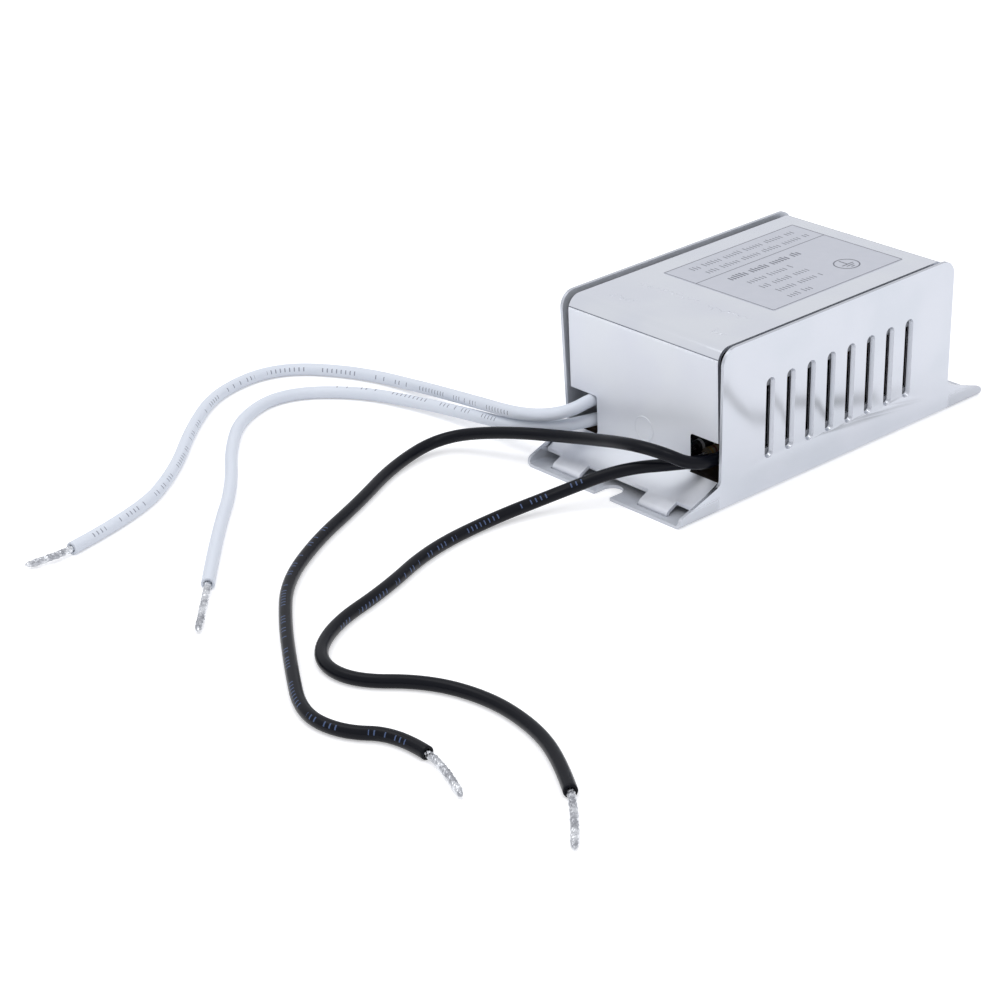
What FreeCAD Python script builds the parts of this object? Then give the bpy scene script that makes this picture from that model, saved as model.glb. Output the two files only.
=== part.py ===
import FreeCAD, Part
import math
import os

# Electronic transformer for halogen lamps, in a two-piece case of folded plated sheet.
# Millimetres. The origin is the centre of the base's underside. +X runs away from the
# lead end, so the leads leave at -X. +Z is up.

V = FreeCAD.Vector

# Case sheet and base channel
sheet = 0.7
case_length = 66.0
case_height = 33.5
base_width = 42.6
side_lean = 2.1
base_bend = 1.2
panel_corner = 3.4
foot_reach = 11.1

# Gussets that carry the side panels down to the foot tips
gusset_root = 5.75
gusset_tip = 1.9
gusset_tip_radius = 1.3
gusset_fillet = 1.5

# Open screw notch in each foot
notch_width = 4.4
notch_depth = 5.0

# Vents: a dimple pressed inward with a slot through its floor
vent_count = 8
vent_pitch = 5.7
vent_bottom = 7.2
vent_top = 24.2
vent_width = 2.4
vent_slot_width = 1.4
vent_depth = 0.8
vent_end = 1.9
vent_taper = 0.45

# Cover: top, two ends, sloped flanges and clinched tongues
cover_gap = 0.15
cover_drop = 0.4
cover_inset = 0.4
cover_bend = 3.0
flange_root = 6.05
flange_angle = 25.5
flange_reach = 6.8
flange_bend = 0.6
tongue_inner = 8.3
tongue_width = 7.7
tongue_reach = 9.7
tongue_bend = 1.2
tongue_end_height = 0.1
tongue_clear = 0.15
slot_gap = 0.35

# Lead openings in the lead end of the cover
opening_inner = 13.0
opening_top = 13.9
opening_corner = 0.6
opening_step = 0.3

# Insulating liner under the board
liner = 0.4
liner_side = 5.6
liner_gap = 0.3
liner_bend = 0.9
liner_end_gap = 0.4

# Circuit board and its solder joints
board_thickness = 1.6
board_end_gap = 2.6
board_side_gap = 0.9
solder_height = 1.6
solder_radius = 1.0
solder_tip_radius = 0.4
wire_size = 0.7

# Output transformer: a pair of E cores on a bobbin with two windings
core_length = 20.0
core_width = 25.0
core_depth = 7.0
core_leg = 7.2
core_yoke = 3.6
core_outer_leg = 3.4
bobbin_fit = 0.1
bobbin_wall = 0.8
bobbin_flange = 1.0
bobbin_pin_pitch = 4.0
winding_gap = 0.1
winding_room = 1.3
rim_margin = 0.5
output_end_gap = 15.3
output_edge_gap = 3.2

# Drive transformer on a small ring core, in three groups of turns
ring_radius = 6.0
ring_hole_radius = 3.2
ring_depth = 4.6
ring_lift = 0.9
ring_side_gap = 0.3
ring_film_gap = 0.7
drive_wire = 0.6
drive_groups = 3
drive_turns = 3
drive_turn_angle = 19.0

# Heat sink, its two transistors, pads and screws
sink_length = 27.0
sink_height = 20.0
sink_thickness = 1.5
sink_end_gap = 0.8
sink_wall_gap = 1.0
sink_corner = 2.0
pad_thickness = 0.3
pad_margin = 0.6
transistor_pitch = 13.0
transistor_width = 10.0
transistor_body = 9.2
transistor_depth = 4.4
transistor_lift = 4.0
tab_height = 6.2
tab_thickness = 1.3
tab_hole_radius = 1.8
tab_hole_drop = 2.8
leg_pitch = 2.54
leg_width = 0.8
leg_thickness = 0.5
screw_radius = 1.45
screw_fit = 0.1
screw_head_radius = 2.8
screw_head = 2.0
screw_recess = 0.7

# Box capacitors: length, thickness, height, and distance between wires
film_size = (18.0, 7.0, 13.5, 15.0)
film_end_gap = 1.8
film_edge_gap = 0.6
filter_size = (11.5, 5.4, 11.0, 10.0)
filter_end_gap = 9.85
filter_edge_gap = 0.4
start_size = (7.2, 3.5, 7.5, 5.0)
start_end_gap = 1.1
start_rise = 0.1
capacitor_corner = 0.8

# Input choke: a drum core with a winding
drum_radius = 4.6
drum_height = 10.0
drum_rim = 1.3
drum_waist = 2.6
choke_edge_gap = 0.5
choke_side_gap = 0.35
choke_pin_reach = 3.0
choke_winding_depth = 0.5
choke_gap = 0.1

# Small parts that lie on bent wires: body radius and length, then their places
axial_reach = 2.2
axial_lift = 0.4
diode_radius = 1.35
diode_length = 5.2
diode_count = 4
axial_pitch = 3.6
axial_end_gap = 1.6
axial_first_y = -9.6
resistor_radius = 1.2
resistor_length = 6.3
resistor_gap = 1.0
diac_radius = 0.95
diac_length = 3.8
diac_gap = 0.75
fuse_radius = 1.8
fuse_length = 7.6
fuse_cap = 1.5
fuse_cap_rim = 0.15

# Leads: insulation, then the bare tinned strand at each end
white_diameter = 2.6
black_diameter = 2.5
strand_diameter = 1.5
inner_runs = (4.4, 1.9, 2.6, 2.6)
tip_run = 4.5
arc_share = 0.45

# Routes of the insulation, from inside the case outward. Each point is the distance out
# from the lead end, the distance sideways and the height above the lead's resting height.
white_route_1 = [
    (-7.1, 14.3, 10.1), (6.6, 15.1, 10.2), (9.2, 27.8, 7.2), (5.0, 45.5, 3.95),
    (2.4, 63.5, 0.4), (5.9, 81.5, 0), (16.4, 96.5, 0), (33.4, 95.3, 0),
    (47.9, 84.5, 0), (63.4, 69.0, 0), (79.4, 58.4, 0), (97.7, 54.7, 0),
]
white_route_2 = [
    (-7.4, 14.2, 6.4), (6.0, 15.2, 7.1), (8.2, 27.9, 4.2), (7.0, 42.0, 1.9),
    (8.0, 57.0, 0.5), (12.8, 73.4, 0), (24.6, 84.4, 0), (38.4, 80.4, 0),
    (49.4, 69.2, 0), (60.4, 54.0, 0), (74.4, 39.9, 0), (88.5, 23.8, 0),
]
black_route_1 = [
    (-9.2, -17.6, 9.25), (2.0, -20.0, 7.25), (10.6, -11.6, 13.15), (7.0, 11.3, 6.55),
    (12.9, 28.0, 4.75), (17.9, 40.8, 1.15), (31.9, 38.8, 0), (47.4, 30.6, 0),
    (63.4, 23.5, 0), (77.9, 14.0, 0), (87.9, 1.5, 0), (97.4, -12.5, 0),
    (105.9, -26.0, 0), (105.2, -36.0, 0), (98.9, -43.0, 0), (99.5, -51.4, 0),
]
black_route_2 = [
    (-7.1, -16.8, 6.35), (3.7, -14.5, 7.95), (10.9, -5.0, 6.35), (20.4, 2.5, 2.05),
    (34.9, 6.5, 0), (51.4, 5.0, 0), (67.4, -1.5, 0), (82.4, -5.3, 0),
    (92.4, -13.0, 0), (93.2, -23.5, 0), (83.9, -33.0, 0), (80.4, -45.0, 0),
    (81.6, -57.5, 0), (85.7, -68.0, 0), (91.3, -76.7, 0),
]
# Where each tinned end comes to rest: distance out from the lead end, distance sideways
white_tip_1 = (107.4, 55.9)
white_tip_2 = (100.3, 10.8)
black_tip_1 = (104.0, -64.9)
black_tip_2 = (102.0, -89.0)

# Worked out from the values above
lean = math.tan(math.radians(side_lean))
lean_sheet = sheet / math.cos(math.radians(side_lean))
half_length = case_length / 2
foot_x = half_length + foot_reach
inner_half = base_width / 2 - lean_sheet
cover_half = inner_half - cover_gap
cover_end = half_length - cover_inset
cover_top = case_height - cover_drop
tongue_x = cover_end + tongue_reach
flange_slope = math.tan(math.radians(flange_angle))
board_bottom = sheet + liner + solder_height
board_top = board_bottom + board_thickness
board_half_length = cover_end - sheet - board_end_gap
board_half_width = inner_half - board_side_gap
core_window = core_width / 2 - core_outer_leg - core_leg / 2
bobbin_half = core_leg / 2 + bobbin_fit + bobbin_wall
winding_build = (core_window - bobbin_fit - bobbin_wall - 2 * winding_gap - winding_room) / 2
winding_depth = bobbin_fit + bobbin_wall + 2 * (winding_gap + winding_build)
bobbin_rim = winding_depth + rim_margin
core_z = board_top + core_depth / 2 + bobbin_rim
bobbin_length = core_length - 2 * core_yoke - 2 * bobbin_fit
sink_front = inner_half - sink_wall_gap - sink_thickness
tab_back = sink_front - pad_thickness
leg_y = tab_back - transistor_depth / 2
transistor_z = board_top + transistor_lift
screw_z = transistor_z + transistor_body + tab_height - tab_hole_drop

# Layout of the board, measured from its edges and from neighbours
output_x = -board_half_length + output_end_gap + core_length / 2
output_y = -board_half_width + output_edge_gap + core_width / 2
sink_x = board_half_length - sink_end_gap - sink_length / 2
transistor_places = [sink_x - transistor_pitch / 2, sink_x + transistor_pitch / 2]
film_x = board_half_length - film_end_gap - film_size[0] / 2
film_first_y = -board_half_width + film_edge_gap + film_size[1] / 2
film_y = (film_first_y, film_first_y + film_size[1] + film_edge_gap)
filter_x = -board_half_length + filter_end_gap + filter_size[0] / 2
filter_y = board_half_width - filter_edge_gap - filter_size[1] / 2
start_x = board_half_length - start_end_gap - start_size[0] / 2
ring_reach = ring_radius + winding_gap + drive_wire
ring_x = start_x - start_size[0] / 2 - ring_side_gap - ring_reach
ring_y = film_y[1] + film_size[1] / 2 + ring_film_gap + ring_reach
start_y = ring_y + start_rise
choke_x = filter_x + filter_size[0] / 2 + choke_side_gap + drum_radius
choke_y = board_half_width - choke_edge_gap - drum_radius
axial_x = -board_half_length + axial_end_gap + fuse_length / 2 + axial_reach
resistor_y = tab_back - transistor_depth - resistor_gap - resistor_radius
diode_places = [(axial_x, axial_first_y + (i + 1) * axial_pitch) for i in range(diode_count)]
fuse_places = [(axial_x, axial_first_y + (diode_count + 1) * axial_pitch + fuse_radius - diode_radius)]
resistor_places = [(axial_x, axial_first_y)]
resistor_places += [(x - resistor_gap, resistor_y) for x in transistor_places]
diac_places = [(start_x, resistor_y - resistor_radius - diac_gap - diac_radius)]


def rounded_path(points, radii, closed):
    """Straight runs joined by tangent arcs, with one radius for each point."""
    count = len(points)
    starts = list(points)
    ends = list(points)
    arcs = [None] * count
    for i in range(count):
        if radii[i] <= 0:
            continue
        back = (points[i - 1] - points[i]).normalize()
        ahead = (points[(i + 1) % count] - points[i]).normalize()
        half = back.getAngle(ahead) / 2
        middle = (back + ahead).normalize()
        depth = radii[i] / math.sin(half) - radii[i]
        starts[i] = points[i] + back * (radii[i] / math.tan(half))
        ends[i] = points[i] + ahead * (radii[i] / math.tan(half))
        arcs[i] = Part.Arc(starts[i], points[i] + middle * depth, ends[i]).toShape()
    path = []
    for i in range(count):
        if arcs[i]:
            path.append(arcs[i])
        following = starts[(i + 1) % count]
        last = i == count - 1 and not closed
        if not last and ends[i].distanceToPoint(following) > 1e-6:
            path.append(Part.LineSegment(ends[i], following).toShape())
    return Part.Wire(path)


def outline(points, radii):
    """A flat closed face with rounded corners."""
    return Part.Face(rounded_path(points, radii, True))


def box(low, high):
    """A box between two corners."""
    size = V(*high) - V(*low)
    return Part.makeBox(size.x, size.y, size.z, V(*low))


def rounded_bar(width, height, length, corner):
    """A bar along X with rounded long edges, centred on the X axis, from x = 0."""
    corners = [(-width, -height), (width, -height), (width, height), (-width, height)]
    points = [V(0, y / 2, z / 2) for y, z in corners]
    return outline(points, [corner] * 4).extrude(V(length, 0, 0))


def both_ends(shape):
    """The shape, and its copy turned half round the vertical axis."""
    other = shape.copy()
    other.rotate(V(0, 0, 0), V(0, 0, 1), 180)
    return [shape, other]


def sheet_inside(points):
    """The inner face of a folded sheet, from the path of its outer face in the XZ plane."""
    normals = []
    for a, b in zip(points, points[1:]):
        run = (b - a).normalize()
        normals.append(V(run.z, 0, -run.x))
    moved = [points[0] + normals[0] * sheet]
    for first, second, point in zip(normals, normals[1:], points[1:]):
        total = first + second
        moved.append(point + total * (2 * sheet / total.dot(total)))
    moved.append(points[-1] + normals[-1] * sheet)
    return moved


def side_x(z):
    """Outer half width of the leaning side panels at a height."""
    return base_width / 2 + z * lean


def side_outline():
    """The channel seen from the side: panel, gussets and foot tips."""
    right = [
        (foot_x, 0, 0),
        (foot_x, gusset_tip, gusset_tip_radius),
        (half_length, gusset_root, gusset_fillet),
        (half_length, case_height, panel_corner),
    ]
    left = [(-x, z, r) for x, z, r in right[::-1]]
    points = [V(x, 0, z) for x, z, r in right + left]
    return outline(points, [r for x, z, r in right + left])


def channel_section():
    """The channel's cross section: a floor, two bends and two leaning sides."""
    low = base_width / 2
    high = side_x(case_height)
    inner_low = low - lean_sheet + sheet * lean
    outer = [V(0, -high, case_height), V(0, -low, 0), V(0, low, 0), V(0, high, case_height)]
    inner = [V(0, high - lean_sheet, case_height), V(0, inner_low, sheet)]
    inner += [V(0, -inner_low, sheet), V(0, -high + lean_sheet, case_height)]
    bend_in = base_bend - sheet
    return outline(outer + inner, [0, base_bend, base_bend, 0, 0, bend_in, bend_in, 0])


def screw_notch():
    """The open notch in the edge of a foot, with a round closed end."""
    radius = notch_width / 2
    centre_x = foot_x - notch_depth + radius
    hole = Part.makeCylinder(radius, 2 * sheet, V(centre_x, 0, -sheet / 2))
    mouth = box((centre_x, -radius, -sheet / 2), (foot_x + sheet, radius, 1.5 * sheet))
    return hole.fuse(mouth)


def tongue_slot(side):
    """The slot in a foot that a tongue of the cover passes through."""
    inner = side * (tongue_inner - slot_gap)
    outer = side * (tongue_inner + tongue_width + slot_gap)
    front = tongue_x + slot_gap
    rear = tongue_x - sheet - tongue_clear
    points = [V(rear, inner, 0), V(front, inner, 0), V(front, outer, 0), V(rear, outer, 0)]
    slot = outline(points, [(front - rear) * 0.4] * 4).extrude(V(0, 0, 2 * sheet))
    slot.translate(V(0, 0, -sheet / 2))
    return slot


def frustum(first, second):
    """A solid with flat sides between two matching loops of points."""
    faces = [Part.Face(Part.makePolygon(loop + loop[:1])) for loop in (first, second)]
    count = len(first)
    for i in range(count):
        k = (i + 1) % count
        side = [first[i], first[k], second[k], second[i], first[i]]
        faces.append(Part.Face(Part.makePolygon(side)))
    solid = Part.makeSolid(Part.makeShell(faces))
    if solid.Volume < 0:
        solid.reverse()
    return solid


def tapered(y_front, y_back, grow):
    """A tapered oblong round a vent, grown by the thickness of its wall: a block with
    sloped sides between two cones."""
    low = vent_bottom + vent_width / 2
    high = vent_top - vent_width / 2
    slope = vent_taper / vent_depth
    radii = [vent_width / 2 + grow - y * slope for y in (y_front, y_back)]
    loops = []
    for y, r in zip((y_front, y_back), radii):
        loops.append([V(-r, y, low), V(r, y, low), V(r, y, high), V(-r, y, high)])
    depth = y_back - y_front
    cones = []
    for z in (low, high):
        cones.append(Part.makeCone(radii[0], radii[1], depth, V(0, y_front, z), V(0, 1, 0)))
    return frustum(*loops).fuse(cones)


def vent(x):
    """The dimple pressed inward at one vent, and what is cut from it, on an upright
    panel whose outer face is y = 0 and whose inside is towards +y."""
    boss = tapered(sheet / 2, vent_depth + sheet, sheet * 0.9)
    pocket = tapered(-sheet / 4, vent_depth, 0)
    half = vent_slot_width / 2
    slot_low = (-half, 0, vent_bottom + vent_end)
    slot = box(slot_low, (half, vent_depth + 3 * sheet, vent_top - vent_end))
    cut = pocket.fuse(slot)
    boss.translate(V(x, 0, 0))
    cut.translate(V(x, 0, 0))
    return boss, cut


def base_channel():
    """Floor, vented leaning sides and gusseted feet, folded from one sheet."""
    section = channel_section()
    section.translate(V(-foot_x, 0, 0))
    body = section.extrude(V(2 * foot_x, 0, 0))
    across = side_x(case_height) + sheet
    profile = side_outline()
    profile.translate(V(0, -across, 0))
    body = body.common(profile.extrude(V(0, 2 * across, 0)))
    bosses = []
    cuts = both_ends(screw_notch())
    for side in (-1, 1):
        cuts += both_ends(tongue_slot(side))
    for i in range(vent_count):
        boss, cut = vent((i - (vent_count - 1) / 2) * vent_pitch)
        for shape in (boss, cut):
            shape.rotate(V(0, 0, 0), V(1, 0, 0), side_lean)
            shape.translate(V(0, -base_width / 2, 0))
        bosses += both_ends(boss)
        cuts += both_ends(cut)
    return body.fuse(bosses).cut(cuts).removeSplitter()


def cover():
    """Top, two ends, sloped flanges and four tongues, folded from one sheet."""
    lip_z = flange_root - tongue_reach * flange_slope
    half = [V(-tongue_x, 0, tongue_end_height), V(-tongue_x, 0, lip_z)]
    half += [V(-cover_end, 0, flange_root), V(-cover_end, 0, cover_top)]
    outer = half + [V(-p.x, 0, p.z) for p in half[::-1]]
    out_radii = [0, tongue_bend, flange_bend, cover_bend]
    in_radii = [0, tongue_bend - sheet, flange_bend + sheet, cover_bend - sheet]
    radii = out_radii + out_radii[::-1] + in_radii + in_radii[::-1]
    section = outline(outer + sheet_inside(outer)[::-1], radii)
    section.translate(V(0, -cover_half, 0))
    body = section.extrude(V(0, 2 * cover_half, 0))
    cuts = []
    front = cover_end + flange_reach
    far = tongue_x + sheet
    side = cover_half + sheet
    outer_edge = tongue_inner + tongue_width
    for low, high in ((-tongue_inner, tongue_inner), (outer_edge, side), (-side, -outer_edge)):
        cuts += both_ends(box((front, low, -sheet), (far, high, flange_root)))
    for side in (-1, 1):
        cuts.append(lead_opening(side))
    return body.cut(cuts).removeSplitter()


def lead_opening(side):
    """The corner cut out of the lead end, down to the flange, with a rounded corner."""
    front = -cover_end - opening_step
    inner = side * opening_inner
    outer = side * (cover_half + sheet)
    low = flange_root - 3 * sheet
    points = [V(front, inner, low), V(front, inner, opening_top)]
    points += [V(front, outer, opening_top), V(front, outer, low)]
    return outline(points, [0, opening_corner, 0, 0]).extrude(V(opening_step + 2 * sheet, 0, 0))


def insulating_liner():
    """A thin tray of insulating card with low sides, under and beside the board."""
    half = inner_half - liner_gap
    top = sheet + liner_side
    length = cover_end - sheet - liner_end_gap
    outer = [V(0, -half, top), V(0, -half, sheet), V(0, half, sheet), V(0, half, top)]
    inner = [V(0, half - liner, top), V(0, half - liner, sheet + liner)]
    inner += [V(0, -half + liner, sheet + liner), V(0, -half + liner, top)]
    bend_in = liner_bend - liner
    face = outline(outer + inner, [0, liner_bend, liner_bend, 0, 0, bend_in, bend_in, 0])
    face.translate(V(-length, 0, 0))
    return face.extrude(V(2 * length, 0, 0))


def circuit_board():
    low = (-board_half_length, -board_half_width, board_bottom)
    return box(low, (board_half_length, board_half_width, board_top))


def axial_parts():
    """Radius, length and places of each kind of part that lies on bent wires."""
    return [
        (diode_radius, diode_length, diode_places),
        (resistor_radius, resistor_length, resistor_places),
        (diac_radius, diac_length, diac_places),
        (fuse_radius, fuse_length, fuse_places),
    ]


def axial_bodies(radius, length, places):
    z = board_top + axial_lift + radius
    bodies = []
    for x, y in places:
        bodies.append(Part.makeCylinder(radius, length, V(x - length / 2, y, z), V(1, 0, 0)))
    return Part.makeCompound(bodies)


def fuse_body():
    """A ceramic fuse: a tube with a slightly wider metal cap at each end."""
    body = axial_bodies(fuse_radius - fuse_cap_rim, fuse_length, fuse_places)
    z = board_top + axial_lift + fuse_radius
    shapes = []
    for (x, y), tube_part in zip(fuse_places, body.Solids):
        tube_part.translate(V(0, 0, fuse_cap_rim))
        low = V(x - fuse_length / 2, y, z)
        high = V(x + fuse_length / 2 - fuse_cap, y, z)
        caps = [Part.makeCylinder(fuse_radius, fuse_cap, p, V(1, 0, 0)) for p in (low, high)]
        shapes.append(tube_part.fuse(caps))
    return Part.makeCompound(shapes)


def component_wires():
    """The bent wires of the parts that lie flat, from body to board."""
    wires = []
    for radius, length, places in axial_parts():
        z = board_top + axial_lift + radius
        for x, y in places:
            for way in (-1, 1):
                near = x + way * length / 2
                far = near + way * axial_reach
                top = z + wire_size / 2
                low = z - wire_size / 2
                leg = far - way * wire_size
                corners = [(near, low), (near, top), (far - way * wire_size / 2, top)]
                corners += [(far, low), (far, board_top), (leg, board_top), (leg, low)]
                points = [V(cx, y - wire_size / 2, cz) for cx, cz in corners]
                face = Part.Face(Part.makePolygon(points + points[:1]))
                wires.append(face.extrude(V(0, wire_size, 0)))
    return Part.makeCompound(wires)


def box_capacitor(size, x, y):
    length, thickness, height, pitch = size
    body = rounded_bar(thickness, length, height, capacitor_corner)
    body.rotate(V(0, 0, 0), V(0, 1, 0), -90)
    body.translate(V(x, y, board_top))
    return body


def e_core():
    """One E-shaped half of the core, with its legs towards -X, open ends at x = 0."""
    half = core_length / 2
    yoke_x = half - core_yoke
    low = core_z - core_depth / 2
    high = core_z + core_depth / 2
    side = core_width / 2
    inner = side - core_outer_leg
    body = box((yoke_x, -side, low), (half, side, high))
    legs = [box((0, -core_leg / 2, low), (yoke_x, core_leg / 2, high))]
    legs.append(box((0, inner, low), (yoke_x, side, high)))
    legs.append(box((0, -side, low), (yoke_x, -inner, high)))
    return body.fuse(legs).removeSplitter()


def ferrite_core():
    halves = both_ends(e_core())
    core = Part.makeCompound(halves)
    core.translate(V(output_x, output_y, 0))
    return core


def sleeve(inner_y, inner_z, wall, start, length, corner):
    """A rectangular sleeve along X, from its inner half sizes and its wall."""
    outside = rounded_bar(2 * (inner_y + wall), 2 * (inner_z + wall), length, corner + wall)
    inside = rounded_bar(2 * inner_y, 2 * inner_z, length, corner)
    body = outside.cut(inside)
    body.translate(V(output_x + start, output_y, core_z))
    return body


def bobbin():
    """A moulded bobbin: a sleeve round the core's middle leg with two flanges."""
    inner_y = core_leg / 2 + bobbin_fit
    inner_z = core_depth / 2 + bobbin_fit
    start = -bobbin_length / 2
    tube_body = sleeve(inner_y, inner_z, bobbin_wall, start, bobbin_length, 0.3)
    reach = core_width / 2 - core_outer_leg - 2 * bobbin_fit
    rim_z = core_depth / 2 + bobbin_rim
    flanges = []
    for x in (start, -start - bobbin_flange):
        flange = rounded_bar(2 * reach, 2 * rim_z, bobbin_flange, 1.0)
        hole = rounded_bar(2 * inner_y, 2 * inner_z, bobbin_flange, 0.3)
        flange = flange.cut(hole)
        flange.translate(V(output_x + x, output_y, core_z))
        flanges.append(flange)
    return tube_body.fuse(flanges).removeSplitter()


def winding(depth):
    """A winding on the bobbin, from its depth above the bobbin's sleeve."""
    inner_y = bobbin_half + depth
    inner_z = core_depth / 2 + bobbin_fit + bobbin_wall + depth
    start = -bobbin_length / 2 + bobbin_flange + winding_gap
    return sleeve(inner_y, inner_z, winding_build, start, -2 * start, 0.5 + depth)


def ring_core():
    z = board_top + ring_lift
    ring = Part.makeCylinder(ring_radius, ring_depth, V(ring_x, ring_y, z))
    hole = Part.makeCylinder(ring_hole_radius, ring_depth, V(ring_x, ring_y, z))
    return ring.cut(hole)


def ring_windings():
    """Single turns round the ring's section, in three spaced groups."""
    near = ring_hole_radius - winding_gap
    far = ring_radius + winding_gap
    low = board_top + ring_lift - winding_gap
    high = low + ring_depth + 2 * winding_gap
    half = drive_wire / 2
    outer_low = (near - drive_wire, -half, low - drive_wire)
    outside = box(outer_low, (far + drive_wire, half, high + drive_wire))
    turn = outside.cut(box((near, -half, low), (far, half, high)))
    turns = []
    for group in range(drive_groups):
        for i in range(drive_turns):
            step = i - (drive_turns - 1) / 2
            angle = group * 360 / drive_groups + step * drive_turn_angle
            one = turn.copy()
            one.rotate(V(0, 0, 0), V(0, 0, 1), angle)
            one.translate(V(ring_x, ring_y, 0))
            turns.append(one)
    return Part.makeCompound(turns)


def heat_sink():
    """An upright aluminium plate along one side, tapped for the two screws."""
    half = sink_length / 2
    top = board_top + sink_height
    corners = [(-half, board_top), (half, board_top), (half, top), (-half, top)]
    points = [V(sink_x + x, sink_front, z) for x, z in corners]
    plate = outline(points, [0, 0, sink_corner, sink_corner]).extrude(V(0, sink_thickness, 0))
    holes = []
    for x in transistor_places:
        start = V(x, sink_front - sheet, screw_z)
        holes.append(Part.makeCylinder(screw_radius + screw_fit, 4 * sheet, start, V(0, 1, 0)))
    return plate.cut(holes)


def thermal_pads():
    """Thin insulating pads between the transistors and the heat sink."""
    pads = []
    half = transistor_width / 2 + pad_margin
    for x in transistor_places:
        top = transistor_z + transistor_body + tab_height + pad_margin
        pad = box((x - half, tab_back, transistor_z - pad_margin), (x + half, sink_front, top))
        start = V(x, tab_back, screw_z)
        pads.append(pad.cut(Part.makeCylinder(tab_hole_radius, pad_thickness, start, V(0, 1, 0))))
    return Part.makeCompound(pads)


def transistor_cases():
    """The moulded bodies, with their backs flush beside the metal tabs."""
    cases = []
    half = transistor_width / 2
    front = tab_back - transistor_depth
    top = transistor_z + transistor_body
    for x in transistor_places:
        corners = [(-half, front + 0.6), (-half + 0.6, front), (half - 0.6, front)]
        corners += [(half, front + 0.6), (half, tab_back - tab_thickness)]
        corners.append((-half, tab_back - tab_thickness))
        points = [V(x + dx, y, transistor_z) for dx, y in corners]
        face = Part.Face(Part.makePolygon(points + points[:1]))
        cases.append(face.extrude(V(0, 0, top - transistor_z)))
    return Part.makeCompound(cases)


def transistor_tabs():
    """The metal back plate of each transistor, with its screw hole."""
    tabs = []
    half = transistor_width / 2
    top = transistor_z + transistor_body + tab_height
    for x in transistor_places:
        low = (x - half, tab_back - tab_thickness, transistor_z)
        tab = box(low, (x + half, tab_back, top))
        start = V(x, low[1], screw_z)
        tabs.append(tab.cut(Part.makeCylinder(tab_hole_radius, tab_thickness, start, V(0, 1, 0))))
    return Part.makeCompound(tabs)


def leg_places():
    places = []
    for x in transistor_places:
        places += [(x - leg_pitch, leg_y), (x, leg_y), (x + leg_pitch, leg_y)]
    return places


def transistor_legs():
    legs = []
    for x, y in leg_places():
        low = (x - leg_width / 2, y - leg_thickness / 2, board_top)
        legs.append(box(low, (x + leg_width / 2, y + leg_thickness / 2, transistor_z)))
    return Part.makeCompound(legs)


def sink_screws():
    """Pan head screws through the tabs and pads into the heat sink."""
    screws = []
    front = tab_back - tab_thickness
    length = sink_front + sink_thickness - front
    for x in transistor_places:
        shank = Part.makeCylinder(screw_radius, length, V(x, front, screw_z), V(0, 1, 0))
        start = V(x, front - screw_head, screw_z)
        head = Part.makeCylinder(screw_head_radius, screw_head, start, V(0, 1, 0))
        half = screw_recess / 2
        reach = screw_head_radius + sheet
        low = (x - reach, front - screw_head, screw_z - half)
        slot = box(low, (x + reach, front - screw_head / 2, screw_z + half))
        screws.append(shank.fuse(head).cut(slot))
    return Part.makeCompound(screws)


def choke_core():
    """A drum: two rims and a narrow waist, turned about its upright axis."""
    profile = [
        (0, 0), (drum_radius, 0), (drum_radius, drum_rim), (drum_waist, drum_rim),
        (drum_waist, drum_height - drum_rim), (drum_radius, drum_height - drum_rim),
        (drum_radius, drum_height), (0, drum_height),
    ]
    points = [V(choke_x + x, choke_y, board_top + z) for x, z in profile]
    face = Part.Face(Part.makePolygon(points + points[:1]))
    return face.revolve(V(choke_x, choke_y, 0), V(0, 0, 1), 360)


def choke_winding():
    low = V(choke_x, choke_y, board_top + drum_rim + choke_gap)
    height = drum_height - 2 * drum_rim - 2 * choke_gap
    body = Part.makeCylinder(drum_radius - choke_winding_depth, height, low)
    return body.cut(Part.makeCylinder(drum_waist + choke_gap, height, low))


def tube(points, radii, diameter):
    """A round tube along straight runs joined by tangent arcs."""
    path = rounded_path(points, radii, False)
    heading = (points[1] - points[0]).normalize()
    ring = Part.Wire(Part.Circle(points[0], heading, diameter / 2).toShape())
    return path.makePipeShell([ring], True, False)


def route_radii(points):
    """Arc radii of a route: a share of the shorter run over the tangent of half the turn."""
    radii = [0]
    for a, b, c in zip(points, points[1:], points[2:]):
        turn = (b - a).getAngle(c - b)
        shorter = min((b - a).Length, (c - b).Length)
        radii.append(arc_share * shorter / math.tan(turn / 2))
    return radii + [0]


def route_points(route, diameter):
    """Points of a route in the part's frame."""
    return [V(-cover_end - out, y, diameter / 2 + lift) for out, y, lift in route]


def lead(name, route, diameter):
    points = route_points(route, diameter)
    radii = route_radii(points)
    body = tube(points, radii, diameter)
    path = rounded_path(points, radii, False)
    expected = math.pi * diameter ** 2 / 4 * path.Length
    print(name, "length", round(path.Length, 1), "radii", [round(r, 1) for r in radii[1:-1]])
    print("  volume over section times length", round(body.Volume / expected, 4))
    return body


def inner_bend(route, diameter, run):
    """Where the bare strand inside the case turns down to the board."""
    points = route_points(route, diameter)
    return points[0] + (points[0] - points[1]).normalize() * run


def inner_end(route, diameter, run):
    """The bare strand from the insulation's inner end, bent down to the board."""
    start = route_points(route, diameter)[0]
    bend = inner_bend(route, diameter, run)
    foot = V(bend.x, bend.y, board_top)
    ring = Part.Wire(Part.Circle(start, bend - start, strand_diameter / 2).toShape())
    path = Part.makePolygon([start, bend, foot])
    return path.makePipeShell([ring], True, False, 1)


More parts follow.
